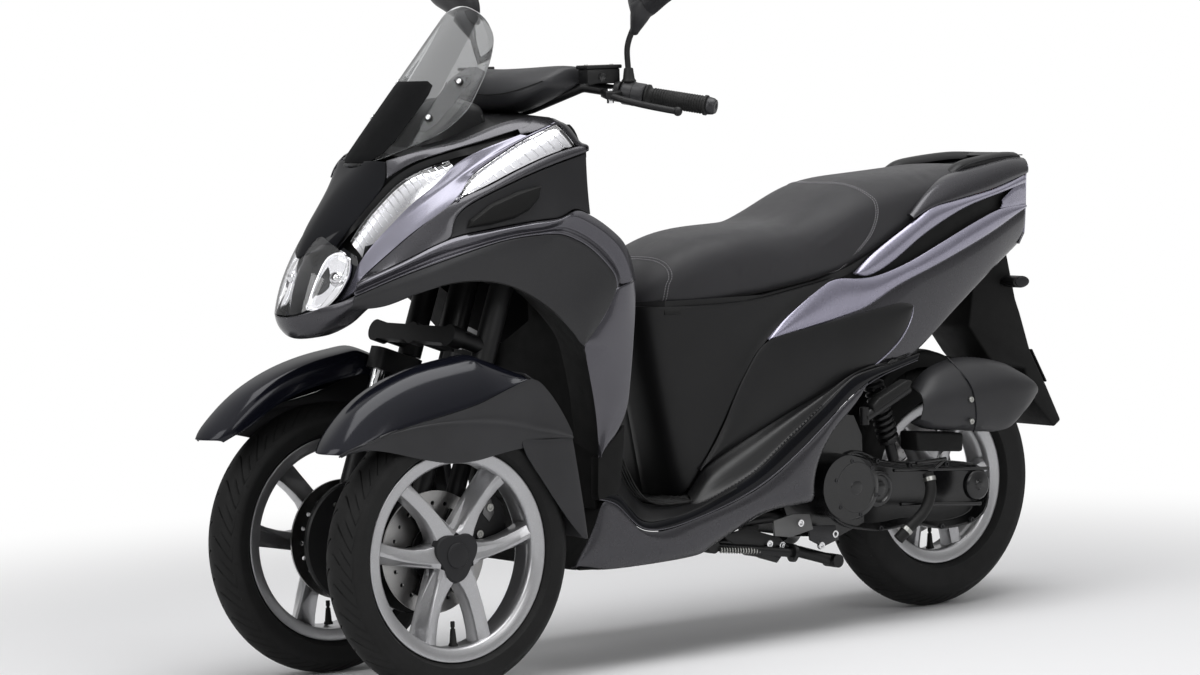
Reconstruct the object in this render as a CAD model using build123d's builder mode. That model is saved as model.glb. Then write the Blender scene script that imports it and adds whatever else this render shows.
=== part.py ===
from build123d import *
import os
from math import cos, radians, sin, tan

# A leaning three-wheeled scooter: two steered wheels in front, one driven wheel behind.
# Frame: X forward, Y to the rider's left, Z up, ground at Z = 0, origin under the middle.

os.makedirs("parts", exist_ok=True)

# ---------------------------------------------------------------- driving dimensions (mm)
OVERALL_LENGTH = 1905.0
WHEELBASE = 1310.0
FRONT_OVERHANG = 275.0
TRACK = 385.0
CASTER = radians(20.0)
TRAIL = 68.0
SEAM = 0.3            # gap between fixed neighbours
PIN_GAP = 0.08        # running clearance round a pin

FRONT_TYRE_RADIUS = 250.0
FRONT_TYRE_WIDTH = 92.0
FRONT_SEAT_RADIUS = 177.0
FRONT_RIM_WIDTH = 66.0
REAR_TYRE_RADIUS = 251.5
REAR_TYRE_WIDTH = 112.0
REAR_SEAT_RADIUS = 152.0
REAR_RIM_WIDTH = 78.0

FRONT_X = OVERALL_LENGTH / 2 - FRONT_OVERHANG
REAR_X = FRONT_X - WHEELBASE
WHEEL_Y = TRACK / 2
SIDES = {"left": 1, "right": -1}


def steer(forward, along, y=0.0):
    """A point set out from a steering axis: along it from the ground, and square ahead of it."""
    return Vector(
        FRONT_X + TRAIL - along * sin(CASTER) + forward * cos(CASTER),
        y,
        along * cos(CASTER) + forward * sin(CASTER),
    )


UP_AXIS = (-sin(CASTER), 0, cos(CASTER))
AHEAD = (cos(CASTER), 0, sin(CASTER))
AXLE_AHEAD = -TRAIL * cos(CASTER) + FRONT_TYRE_RADIUS * sin(CASTER)
AXLE_ALONG = TRAIL * sin(CASTER) + FRONT_TYRE_RADIUS * cos(CASTER)


def steer_plane(forward, along, y=0.0):
    """Square to the steering axis; its x is the vehicle's Y, its y points backward."""
    return Plane(origin=steer(forward, along, y), x_dir=(0, 1, 0), z_dir=UP_AXIS)


def save(part, name):
    part.label = name
    export_step(part, f"parts/{name}.step")


def side_slab(points, low_y, high_y, radius=0.0):
    """A prism of a side-view outline, between two Y values."""
    with BuildPart() as slab:
        with BuildSketch(Plane.XZ.offset(-high_y)):
            with BuildLine():
                if radius:
                    FilletPolyline(*points, radius=radius, close=True)
                else:
                    Polyline(*points, close=True)
            make_face()
        extrude(amount=high_y - low_y)
    return slab.part


def plan_slab(points, low_z, high_z, radius=0.0):
    """A prism of a top-view outline, between two Z values."""
    with BuildPart() as slab:
        with BuildSketch(Plane.XY.offset(low_z)):
            with BuildLine():
                if radius:
                    FilletPolyline(*points, radius=radius, close=True)
                else:
                    Polyline(*points, close=True)
            make_face()
        extrude(amount=high_z - low_z)
    return slab.part


def front_slab(points, low_x, high_x):
    """A prism of a front-view outline (y, z), between two X values."""
    with BuildPart() as slab:
        with BuildSketch(Plane.YZ.offset(low_x)):
            with BuildLine():
                Polyline(*points, close=True)
            make_face()
        extrude(amount=high_x - low_x)
    return slab.part


def both_sides(points):
    """Closes a right-to-left symmetric outline given as (position, half width)."""
    return [(x, w) for x, w in points] + [(x, -w) for x, w in reversed(points)]


def both_ways(points):
    """The same for a front view: (half width, height), where a width of 0 is on the centreline."""
    return list(points) + [(-w, z) for w, z in reversed(points) if w]


def rod(start, end, radius):
    """A round bar between two points."""
    start, end = Vector(start), Vector(end)
    way = end - start
    with BuildPart() as bar:
        with BuildSketch(Plane(origin=start, z_dir=way)):
            Circle(radius)
        extrude(amount=way.length)
    return bar.part


def tube_path(points, radius, corner):
    """A round bar bent along a path with equal corner radii."""
    with BuildPart() as bar:
        with BuildLine() as way:
            FilletPolyline(*points, radius=corner)
        with BuildSketch(Plane(origin=way.line @ 0, z_dir=way.line % 0)):
            Circle(radius)
        sweep()
    return bar.part


# ---------------------------------------------------------------- wheels
FLANGE_HEIGHT = 13.0
RIM_WALL = 12.0
HUB_RADIUS = 38.0
AXLE_RADIUS = 10.0
SPOKE_PAIRS = 3
SPOKE_THICKNESS = 22.0
DISC_THICKNESS = 4.0
DISC_HOLES = 20
FRONT_DISC_RADIUS = 110.0
REAR_DISC_RADIUS = 115.0
FRONT_DISC_INSET = 46.0     # disc's middle, inboard of the wheel's middle
REAR_DISC_INSET = 52.0
HUB_HALF = 36.0


def wheel_plane(centre):
    return Plane(origin=centre, x_dir=(0, 1, 0), z_dir=(1, 0, 0))


def make_tyre(name, centre, radius, width, seat_radius, rim_width):
    seat = rim_width / 2 - 6.0
    bead = seat_radius + SEAM
    edge = width * 0.42
    shoulder = radius - width * 0.23
    with BuildPart() as tyre:
        with BuildSketch(wheel_plane(centre)):
            with BuildLine():
                Polyline(
                    (-seat, bead + FLANGE_HEIGHT), (-seat, bead), (seat, bead),
                    (seat, bead + FLANGE_HEIGHT),
                )
                ThreePointArc(
                    (seat, bead + FLANGE_HEIGHT), (width / 2, (bead + radius) / 2 + 4),
                    (edge, shoulder),
                )
                ThreePointArc((edge, shoulder), (0, radius), (-edge, shoulder))
                ThreePointArc(
                    (-edge, shoulder), (-width / 2, (bead + radius) / 2 + 4),
                    (-seat, bead + FLANGE_HEIGHT),
                )
            make_face()
        revolve(axis=Axis(centre, (0, 1, 0)))
    save(tyre.part, name)


def make_rim(name, centre, seat_radius, rim_width, outer_side, disc_inset, bore_half):
    """Cast rim with three pairs of spokes; outer_side is +1 where the spokes dish to +Y."""
    seat = rim_width / 2 - 6.0 + SEAM
    inner = seat_radius - RIM_WALL
    spoke_low = 2.0 if outer_side > 0 else -2.0 - SPOKE_THICKNESS
    mid = Vector(*centre)
    with BuildPart() as rim:
        with BuildSketch(wheel_plane(centre)):
            with BuildLine():
                Polyline(
                    (-rim_width / 2, inner), (-rim_width / 2, seat_radius + FLANGE_HEIGHT - 1),
                    (-seat, seat_radius + FLANGE_HEIGHT - 1), (-seat, seat_radius),
                    (seat, seat_radius), (seat, seat_radius + FLANGE_HEIGHT - 1),
                    (rim_width / 2, seat_radius + FLANGE_HEIGHT - 1), (rim_width / 2, inner),
                    close=True,
                )
            make_face()
        revolve(axis=Axis(centre, (0, 1, 0)))
        # spokes drawn in the wheel's own plane, then the hub barrel
        face = Plane(origin=mid + Vector(0, spoke_low, 0), x_dir=(1, 0, 0), z_dir=(0, 1, 0))
        with BuildSketch(face):
            with PolarLocations(0, SPOKE_PAIRS, start_angle=30):
                for turn in (-1, 1):
                    Polygon(
                        (24, turn * 4), (54, turn * 8), (inner + 4, turn * 68),
                        (inner - 20, turn * 112), (40, turn * 34), (12, turn * 30),
                        align=None,
                    )
            Circle(inner + 4, mode=Mode.INTERSECT)
        extrude(amount=SPOKE_THICKNESS)
        # the hub is longer on the inner side, where its end carries the disc
        inner_end = mid - Vector(0, outer_side * (disc_inset - DISC_THICKNESS / 2), 0)
        add(rod(inner_end, mid + Vector(0, outer_side * HUB_HALF, 0), HUB_RADIUS))
        # the bore opens at the inner side, and stops at the given depth past the middle
        start = mid - Vector(0, outer_side * (disc_inset + 1), 0)
        add(rod(start, mid + Vector(0, outer_side * bore_half, 0), AXLE_RADIUS + PIN_GAP), mode=Mode.SUBTRACT)
    save(rim.part, name)


def make_disc(name, centre, radius, y_middle):
    face = Plane(
        origin=(centre[0], y_middle - DISC_THICKNESS / 2, centre[2]), x_dir=(1, 0, 0), z_dir=(0, 1, 0)
    )
    with BuildPart() as disc:
        with BuildSketch(face):
            Circle(radius)
            Circle(AXLE_RADIUS + 12, mode=Mode.SUBTRACT)
            with PolarLocations(radius * 0.48, 5):
                Circle(radius * 0.15, mode=Mode.SUBTRACT)
            with PolarLocations(radius * 0.80, DISC_HOLES):
                Circle(4.0, mode=Mode.SUBTRACT)
        extrude(amount=DISC_THICKNESS)
    save(disc.part, name)


for side, sign in SIDES.items():
    hub = (FRONT_X, sign * WHEEL_Y, FRONT_TYRE_RADIUS)
    make_tyre(
        f"front_tyre_{side}", hub, FRONT_TYRE_RADIUS, FRONT_TYRE_WIDTH, FRONT_SEAT_RADIUS, FRONT_RIM_WIDTH
    )
    make_rim(
        f"front_rim_{side}", hub, FRONT_SEAT_RADIUS, FRONT_RIM_WIDTH, sign, FRONT_DISC_INSET, HUB_HALF - 12
    )
    make_disc(f"front_disc_{side}", hub, FRONT_DISC_RADIUS, sign * (WHEEL_Y - FRONT_DISC_INSET))

REAR_HUB = (REAR_X, 0.0, REAR_TYRE_RADIUS)
make_tyre("rear_tyre", REAR_HUB, REAR_TYRE_RADIUS, REAR_TYRE_WIDTH, REAR_SEAT_RADIUS, REAR_RIM_WIDTH)
make_rim("rear_rim", REAR_HUB, REAR_SEAT_RADIUS, REAR_RIM_WIDTH, 1, REAR_DISC_INSET, HUB_HALF + 1)
make_disc("rear_disc", REAR_HUB, REAR_DISC_RADIUS, -REAR_DISC_INSET)

# ---------------------------------------------------------------- steered forks
KNUCKLE_Y = 115.0
FORK_SPACING = 72.0
SLIDER_RADIUS = 17.0
STANCHION_RADIUS = 13.0
SLIDER_TOP = 470.0
YOKE_LOW = 572.0
YOKE_HIGH = 612.0
PIVOT_RADIUS = 13.0
POST_HIGH = 800.0
TIE_BEHIND = 75.0
TIE_ALONG = 552.0
TIE_THICK = 14.0
TIE_PIN_RADIUS = 6.0
CASTING_HALF = 18.0
COVER_RADIUS = 112.0
FENDER_INNER_Y = 136.0
FENDER_OUTER_Y = 251.0
FENDER_WALL = 3.5
FENDER_GAP = 17.0     # tyre tread to fender

TUBE_AHEAD = (AXLE_AHEAD - FORK_SPACING / 2, AXLE_AHEAD + FORK_SPACING / 2)


def make_fork(side, sign):
    y = sign * KNUCKLE_Y
    with BuildPart() as yoke:
        for ahead in TUBE_AHEAD:
            with BuildSketch(steer_plane(ahead, SLIDER_TOP + SEAM, y)):
                Circle(STANCHION_RADIUS)
            extrude(amount=YOKE_LOW - SLIDER_TOP)
        with BuildSketch(steer_plane(0, YOKE_LOW, y)):
            with BuildLine():
                FilletPolyline(
                    (-21, 24), (-21, -TUBE_AHEAD[1] - 22), (21, -TUBE_AHEAD[1] - 22), (21, 24),
                    radius=15, close=True,
                )
            make_face()
        extrude(amount=YOKE_HIGH - YOKE_LOW)
        with BuildSketch(steer_plane(0, YOKE_LOW, y)):
            with Locations((0, TIE_BEHIND / 2 + 4)):
                Rectangle(20, TIE_BEHIND + 8)
        extrude(amount=14)
        with BuildSketch(steer_plane(0, YOKE_HIGH, y)):
            Circle(PIVOT_RADIUS)
        extrude(amount=POST_HIGH - YOKE_HIGH + 10)
        with BuildSketch(steer_plane(-TIE_BEHIND, YOKE_LOW, y)):
            Circle(TIE_PIN_RADIUS)
        extrude(amount=-(YOKE_LOW - TIE_ALONG) - TIE_THICK / 2)
    save(yoke.part, f"fork_yoke_{side}")

    axle_end = sign * (WHEEL_Y + HUB_HALF - 14)
    with BuildPart() as lower:
        for ahead in TUBE_AHEAD:
            with BuildSketch(steer_plane(ahead, AXLE_ALONG - 8, y)):
                Circle(SLIDER_RADIUS)
            extrude(amount=SLIDER_TOP - AXLE_ALONG + 8)
        with BuildSketch(Plane.XZ.offset(-y + CASTING_HALF * -1)):
            with BuildLine():
                FilletPolyline(
                    (FRONT_X - 62, FRONT_TYRE_RADIUS + 62), (FRONT_X - 40, FRONT_TYRE_RADIUS - 34),
                    (FRONT_X + 40, FRONT_TYRE_RADIUS - 34), (FRONT_X + 66, FRONT_TYRE_RADIUS + 20),
                    (FRONT_X + 40, FRONT_TYRE_RADIUS + 92), radius=14, close=True,
                )
            make_face()
        extrude(amount=2 * CASTING_HALF)
        add(rod((FRONT_X, y, FRONT_TYRE_RADIUS), (FRONT_X, axle_end, FRONT_TYRE_RADIUS), AXLE_RADIUS))
        # the shallow cover over the casting's inner face
        inner_face = y - sign * CASTING_HALF
        for radius, start, depth in ((COVER_RADIUS, 0.0, 7.0), (COVER_RADIUS * 0.6, 7.0, 9.0)):
            first = (FRONT_X, inner_face - sign * start, FRONT_TYRE_RADIUS)
            last = (FRONT_X, inner_face - sign * (start + depth), FRONT_TYRE_RADIUS)
            add(rod(first, last, radius))
        # boss that the fender bolts to
        boss = steer(TUBE_AHEAD[0], 455, y)
        add(rod(boss, (boss.X, sign * (FENDER_INNER_Y - SEAM), boss.Z), 9))
        boss = steer(TUBE_AHEAD[1], 455, y)
        add(rod(boss, (boss.X, sign * (FENDER_INNER_Y - SEAM), boss.Z), 9))
    save(lower.part, f"fork_lower_{side}")


CALIPER_REACH = (62.0, 138.0)
CALIPER_SWEEP = 34.0
CALIPER_ANGLE = 158.0
CALIPER_SLOT = 9.0


def make_caliper(side, sign):
    disc_y = sign * (WHEEL_Y - FRONT_DISC_INSET)
    low_y, high_y = sorted((sign * (KNUCKLE_Y + CASTING_HALF + SEAM), disc_y + sign * 22))
    face = Plane(origin=(FRONT_X, high_y, FRONT_TYRE_RADIUS), x_dir=(1, 0, 0), z_dir=(0, -1, 0))
    with BuildPart() as caliper:
        with BuildSketch(face):
            with PolarLocations((CALIPER_REACH[0] + CALIPER_REACH[1]) / 2, 1, start_angle=CALIPER_ANGLE):
                RectangleRounded(CALIPER_REACH[1] - CALIPER_REACH[0], 2 * CALIPER_SWEEP, 12)
        extrude(amount=high_y - low_y)
        slot = Plane(origin=(FRONT_X, disc_y + CALIPER_SLOT / 2, FRONT_TYRE_RADIUS), x_dir=(1, 0, 0), z_dir=(0, -1, 0))
        with BuildSketch(slot):
            Circle(FRONT_DISC_RADIUS + 5)
        extrude(amount=CALIPER_SLOT, mode=Mode.SUBTRACT)
        # mounting ear that reaches the fork casting
        ear = (FRONT_X - 58, FRONT_TYRE_RADIUS + 50)
        near = sign * (KNUCKLE_Y + CASTING_HALF + SEAM)
        far = disc_y - sign * (CALIPER_SLOT / 2 + 1)
        add(rod((ear[0], near, ear[1]), (ear[0], far, ear[1]), 14))
    save(caliper.part, f"caliper_{side}")


# side view of a front fender, and the skirt's lower edge
FENDER_OUTLINE = [
    (FRONT_X + FRONT_OVERHANG, 440), (FRONT_X + 258, 466), (FRONT_X + 110, 561), (FRONT_X - 52, 600),
    (FRONT_X - 140, 556), (FRONT_X - 248, 452), (FRONT_X - 268, 380), (FRONT_X - 274, 268),
    (FRONT_X - 258, 300), (FRONT_X - 238, 418), (FRONT_X - 100, 404), (FRONT_X + 20, 398),
    (FRONT_X + 120, 414), (FRONT_X + 245, 448),
]


def make_fender(side, sign):
    low_y, high_y = sorted((sign * FENDER_INNER_Y, sign * FENDER_OUTER_Y))
    hub = (FRONT_X, 0, FRONT_TYRE_RADIUS)
    reach = FRONT_TYRE_RADIUS + FENDER_GAP
    with BuildPart() as fender:
        add(side_slab(FENDER_OUTLINE, low_y, high_y))
        add(
            rod((hub[0], low_y + FENDER_WALL, hub[2]), (hub[0], high_y - FENDER_WALL, hub[2]), reach),
            mode=Mode.SUBTRACT,
        )
    save(fender.part, f"fender_{side}")


for side, sign in SIDES.items():
    make_fork(side, sign)
    make_caliper(side, sign)
    make_fender(side, sign)

# ---------------------------------------------------------------- leaning linkage and steering link
POST_LOW = YOKE_HIGH + 3.0
POST_RADIUS = 22.0
ARM_LEVELS = {"lower_arm": 640.0, "upper_arm": 768.0}
ARM_NEAR = 62.0
ARM_FAR = 88.0
ARM_HEIGHT = 30.0
EYE_RADIUS = 20.0


def make_post(name, y, bore_radius, low, high):
    with BuildPart() as post:
        with BuildSketch(steer_plane(0, low, y)):
            Circle(POST_RADIUS)
        extrude(amount=high - low)
        for level in ARM_LEVELS.values():
            add(rod(steer(0, level, y), steer(ARM_NEAR - SEAM, level, y), 15))
        with BuildSketch(steer_plane(0, low - 1, y)):
            Circle(bore_radius + PIN_GAP)
        extrude(amount=high - low + 2, mode=Mode.SUBTRACT)
    return post.part


with BuildPart() as posts:
    for sign in SIDES.values():
        add(make_post("post", sign * KNUCKLE_Y, PIVOT_RADIUS, POST_LOW, POST_HIGH))
save(posts.part, "side_posts")

with BuildPart() as arms:
    for level in ARM_LEVELS.values():
        with BuildSketch(Plane(origin=steer(ARM_NEAR, level), x_dir=(0, 1, 0), z_dir=AHEAD)):
            Rectangle(2 * KNUCKLE_Y, ARM_HEIGHT)
            with Locations((-KNUCKLE_Y, 0), (0, 0), (KNUCKLE_Y, 0)):
                Circle(EYE_RADIUS)
        extrude(amount=ARM_FAR - ARM_NEAR)
save(arms.part, "link_arms")

TIE_EYE = 13.0
with BuildPart() as tie_rod:
    with BuildSketch(steer_plane(-TIE_BEHIND, TIE_ALONG - TIE_THICK / 2)):
        Rectangle(2 * KNUCKLE_Y, 14)
        with Locations((-KNUCKLE_Y, 0), (0, 0), (KNUCKLE_Y, 0)):
            Circle(TIE_EYE)
        with Locations((-KNUCKLE_Y, 0), (0, 0), (KNUCKLE_Y, 0)):
            Circle(TIE_PIN_RADIUS + SEAM, mode=Mode.SUBTRACT)
    extrude(amount=TIE_THICK)
save(tie_rod.part, "tie_rod")

# ---------------------------------------------------------------- steering head, stem and handlebar
STEM_RADIUS = 12.0
STEM_TOP = 1075.0
BAR_RADIUS = 11.0
BAR_HALF = 367.5 - 12.0
HEAD_HIGH = 930.0

with BuildPart() as stem:
    with BuildSketch(steer_plane(0, TIE_ALONG + TIE_THICK / 2 + 4)):
        Circle(STEM_RADIUS)
    extrude(amount=STEM_TOP - TIE_ALONG - TIE_THICK / 2 - 4)
    with BuildSketch(steer_plane(-TIE_BEHIND / 2, TIE_ALONG + TIE_THICK / 2 + 4)):
        Rectangle(22, TIE_BEHIND + 20)
    extrude(amount=14)
    with BuildSketch(steer_plane(-TIE_BEHIND, TIE_ALONG + TIE_THICK / 2 + 5)):
        Circle(TIE_PIN_RADIUS)
    extrude(amount=-TIE_THICK - 5)
save(stem.part, "steering_stem")

# the bar rises from the clamp, then sweeps out and back to the grips
CLAMP = steer(0, STEM_TOP)
GRIP_OUT = Vector(187, BAR_HALF, 1025)
BAR_BEND = Vector(316, 150, 1066)
BAR_CENTRE = steer(0, STEM_TOP + 18)


def bar_shape(radius, grow):
    with BuildPart() as shape:
        for sign in SIDES.values():
            way = [
                (BAR_CENTRE.X, 0, BAR_CENTRE.Z), (BAR_CENTRE.X, sign * 60, BAR_CENTRE.Z),
                (BAR_BEND.X, sign * BAR_BEND.Y, BAR_BEND.Z), (GRIP_OUT.X, sign * GRIP_OUT.Y, GRIP_OUT.Z),
            ]
            add(tube_path(way, radius, 30))
        add(rod(steer(0, STEM_TOP + SEAM - grow), steer(0, STEM_TOP + 36 + grow), 20 + grow))
    return shape.part


handlebar = bar_shape(BAR_RADIUS, 0.0)
save(handlebar, "handlebar")

# the padded cover over the clamp, with the bar running through it
COVER_HALF = 120.0
COVER_SIDE = [
    (CLAMP.X - 48, CLAMP.Z + 22), (CLAMP.X - 30, CLAMP.Z + 70), (CLAMP.X + 20, CLAMP.Z + 90),
    (CLAMP.X + 68, CLAMP.Z + 80), (CLAMP.X + 74, CLAMP.Z + 60), (CLAMP.X + 20, CLAMP.Z + 26),
]
with BuildPart() as cover:
    add(side_slab(COVER_SIDE, -COVER_HALF, COVER_HALF))
    add(bar_shape(BAR_RADIUS + SEAM, SEAM), mode=Mode.SUBTRACT)
save(cover.part, "handlebar_cover")

GRIP_RADIUS = 16.5
GRIP_LENGTH = 122.0
LEVER_REACH = 58.0
BAR_WAY = (GRIP_OUT - BAR_BEND).normalized()


def on_bar(back, sign, forward=0.0, up=0.0):
    """A point measured back from the bar's end, mirrored for the right-hand side."""
    spot = GRIP_OUT - BAR_WAY * back + Vector(forward, 0, up)
    return Vector(spot.X, sign * spot.Y, spot.Z)


with BuildPart() as controls:
    for sign in SIDES.values():
        with BuildPart(mode=Mode.PRIVATE) as one:
            add(rod(on_bar(-12, sign), on_bar(GRIP_LENGTH, sign), GRIP_RADIUS))
            add(rod(on_bar(GRIP_LENGTH, sign), on_bar(GRIP_LENGTH + 46, sign), GRIP_RADIUS + 7))
            add(rod(on_bar(GRIP_LENGTH + 20, sign), on_bar(GRIP_LENGTH + 20, sign, 52), 10))
            lever = [
                on_bar(GRIP_LENGTH + 12, sign, 44), on_bar(GRIP_LENGTH - 12, sign, LEVER_REACH, -2),
                on_bar(0, sign, LEVER_REACH - 14, -4),
            ]
            add(tube_path(lever, 6.5, 18))
            add(rod(on_bar(-SEAM, sign), on_bar(GRIP_LENGTH + 60, sign), BAR_RADIUS + SEAM), mode=Mode.SUBTRACT)
        add(one.part)
save(controls.part, "hand_controls")

MIRROR_STEM = 6.0
MIRROR_BACK = GRIP_LENGTH + 34
MIRROR_RISE = GRIP_RADIUS + 7 + 1.9
MIRROR_VIEW = [(-74, -40), (-30, -36), (62, 6), (84, 40), (60, 62), (-48, 42), (-80, 6)]
with BuildPart() as mirrors:
    for sign in SIDES.values():
        foot = on_bar(MIRROR_BACK, sign, 0, MIRROR_RISE)
        stem_way = [
            foot, foot + Vector(0, 0, 22), foot + Vector(14, sign * 8, 58), foot + Vector(0, sign * 32, 112),
        ]
        head = foot + Vector(-4, sign * 88, 146)
        add(tube_path(stem_way, MIRROR_STEM, 12))
        with BuildSketch(Plane(origin=head, x_dir=(0, 1, 0), z_dir=(1, 0, 0.1))):
            with BuildLine():
                FilletPolyline(*[(sign * w, h) for w, h in MIRROR_VIEW], radius=14, close=True)
            make_face()
        extrude(amount=26, taper=14)
save(mirrors.part, "mirrors")

# ---------------------------------------------------------------- front bodywork
# The front is one outer shape, parted into its panels so that neighbours share their edges.
BODY_HALF = 225.0
BAY_HALF = 150.0
SHIELD_HALF = 182.0
ARCH_REAR = FRONT_X - 332.0     # rear wall of the wheel arches
FLOOR_Z = 290.0

FRONT_SIDE = [
    (722, 941), (771, 889), (824, 822), (859, 759), (879, 714), (886, 687), (872, 656), (850, 640),
    (816, 638), (757, 694), (700, 716), (647, 727), (600, 730), (553, 723), (491, 704), (434, 669),
    (396, 635), (368, 600), (350, 540), (ARCH_REAR, 500), (ARCH_REAR, 300), (312, FLOOR_Z),
    (300, 330), (283, 420), (272, 500), (254, 600), (244, 680), (244, 730), (262, 770), (281, 794),
    (314, 818), (352, 842), (349, 945), (365, 975), (395, 1002), (440, 1010), (520, 1000), (610, 975),
]
FRONT_PLAN = both_sides([
    (890, 40), (872, 66), (830, 98), (757, 134), (690, 166), (600, 196), (500, 213), (400, 222),
    (300, BODY_HALF), (240, BODY_HALF),
])
FRONT_VIEW = both_ways([
    (100, 1012), (150, 1000), (186, 968), (200, 930), (212, 850), (BODY_HALF + 10, 760),
    (BODY_HALF + 10, 270),
])
RIDGE = [
    (900, 726), (843, 745), (745, 777), (665, 808), (556, 829), (459, 846), (391, 848), (340, 846),
    (200, 846),
]
BAY = [
    (358, 560), (358, 850), (395, 892), (470, 892), (520, 850), (600, 805), (690, 745), (690, 560),
]
COLUMN_SPACE = 30.0

with BuildPart() as front_mass:
    add(side_slab(FRONT_SIDE, -BODY_HALF - 5, BODY_HALF + 5))
    add(plan_slab(FRONT_PLAN, FLOOR_Z - 10, 1020), mode=Mode.INTERSECT)
    add(front_slab(FRONT_VIEW, 200, 900), mode=Mode.INTERSECT)

with BuildPart() as link_bay:
    add(side_slab(BAY, -BAY_HALF, BAY_HALF))
    with BuildSketch(steer_plane(0, HEAD_HIGH)):
        Circle(COLUMN_SPACE)
    extrude(amount=200)

NOSE_VIEW = both_ways([(60, 945), (66, 880), (80, 815), (52, 790), (0, 782)])
LAMP_VIEW = both_ways([(0, 778), (50, 786), (76, 800), (72, 730), (52, 682), (0, 672)])
STRIP_VIEW = [(84, 742), (88, 806), (78, 850), (88, 908), (120, 940), (132, 925), (112, 860), (108, 790)]
LAMP_DEPTH = 700.0


def front_piece(view, low_x, high_x=900.0):
    """The part of the front shape behind a front-view outline."""
    with BuildPart() as piece:
        add(front_mass.part)
        add(front_slab(view, low_x, high_x), mode=Mode.INTERSECT)
        add(link_bay.part, mode=Mode.SUBTRACT)
    return piece.part


nose_panel = front_piece(NOSE_VIEW, LAMP_DEPTH)
save(nose_panel, "nose_panel")

with BuildPart() as lamps:
    add(front_piece(LAMP_VIEW, LAMP_DEPTH))
    for sign in SIDES.values():
        add(front_piece([(sign * w, z) for w, z in STRIP_VIEW], 600))
save(lamps.part, "front_lamps")

SIGNAL_SIDE = [(636, 868), (583, 912), (474, 972), (401, 1002), (363, 968), (474, 918)]
SIGNAL_IN = 128.0
VENT_SIDE = [(643, 822), (560, 838), (459, 856), (352, 858), (352, 945), (470, 896)]
VENT_IN = 168.0

with BuildPart() as signals:
    add(front_mass.part)
    with BuildPart(mode=Mode.PRIVATE) as windows:
        add(side_slab(SIGNAL_SIDE, SIGNAL_IN, BODY_HALF + 5))
        add(side_slab(SIGNAL_SIDE, -BODY_HALF - 5, -SIGNAL_IN))
    add(windows.part, mode=Mode.INTERSECT)
save(signals.part, "turn_signals")

with BuildPart() as vents:
    add(front_mass.part)
    with BuildPart(mode=Mode.PRIVATE) as windows:
        add(side_slab(VENT_SIDE, VENT_IN, BODY_HALF + 5))
        add(side_slab(VENT_SIDE, -BODY_HALF - 5, -VENT_IN))
    add(windows.part, mode=Mode.INTERSECT)
save(vents.part, "cowl_side_panels")

OVER_RIDGE = RIDGE + [(200, 1030), (900, 1030)]
UNDER_RIDGE = RIDGE + [(200, 200), (900, 200)]

with BuildPart() as cowl:
    add(front_mass.part)
    add(side_slab(OVER_RIDGE, -BODY_HALF - 5, BODY_HALF + 5), mode=Mode.INTERSECT)
    for used in (link_bay.part, nose_panel, lamps.part, signals.part, vents.part):
        add(used, mode=Mode.SUBTRACT)
save(cowl.part, "front_cowl")

SHIELD_FRONT = ARCH_REAR - 6.0
SHIELD_SIDE = [
    (SHIELD_FRONT, FLOOR_Z - 20), (SHIELD_FRONT, 846), (200, 846), (200, FLOOR_Z - 20),
]
with BuildPart() as shield:
    add(front_mass.part)
    add(side_slab(SHIELD_SIDE, -SHIELD_HALF, SHIELD_HALF), mode=Mode.INTERSECT)
save(shield.part, "leg_shield")

with BuildPart() as arches:
    add(front_mass.part)
    add(side_slab(UNDER_RIDGE, -BODY_HALF - 5, BODY_HALF + 5), mode=Mode.INTERSECT)
    for used in (link_bay.part, shield.part, nose_panel, lamps.part):
        add(used, mode=Mode.SUBTRACT)
save(arches.part, "arch_panels")

# ---------------------------------------------------------------- windscreen and meter hood
SCREEN_FOOT = Vector(716, 0, 953)
SCREEN_TOP = Vector(478, 0, 1215)
SCREEN_HALF = 128.0
SCREEN_BOW = 62.0
SCREEN_WALL = 4.0
SCREEN_VIEW = both_ways([(34, 940), (70, 956), (116, 990), (SCREEN_HALF, 1030), (112, 1130), (78, 1185), (40, 1215)])


def screen_shell(inner, wall, half):
    rise = SCREEN_TOP - SCREEN_FOOT
    plane = Plane(origin=SCREEN_FOOT - rise * 0.3, x_dir=(0, 1, 0), z_dir=rise)
    with BuildPart() as shell:
        with BuildSketch(plane):
            with BuildLine():
                ThreePointArc((-half, SCREEN_BOW + inner), (0, inner), (half, SCREEN_BOW + inner))
                Line((half, SCREEN_BOW + inner), (half, SCREEN_BOW + inner + wall))
                ThreePointArc(
                    (half, SCREEN_BOW + inner + wall), (0, inner + wall), (-half, SCREEN_BOW + inner + wall)
                )
                Line((-half, SCREEN_BOW + inner + wall), (-half, SCREEN_BOW + inner))
            make_face()
        extrude(amount=rise.length * 1.4)
    return shell.part


with BuildPart() as screen:
    add(screen_shell(0, SCREEN_WALL, SCREEN_HALF + 6))
    add(front_slab(SCREEN_VIEW, 400, 800), mode=Mode.INTERSECT)
    add(front_mass.part, mode=Mode.SUBTRACT)
save(screen.part, "windscreen")

HOOD_SIDE = [
    (690, 930), (640, 985), (575, 1046), (520, 1052), (486, 1030), (470, 990), (560, 960),
]
with BuildPart() as hood:
    add(side_slab(HOOD_SIDE, -92, 92))
    add(front_mass.part, mode=Mode.SUBTRACT)
    add(screen_shell(-60, 60 + SCREEN_WALL + SEAM, SCREEN_HALF + 40), mode=Mode.SUBTRACT)
save(hood.part, "meter_hood")

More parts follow.
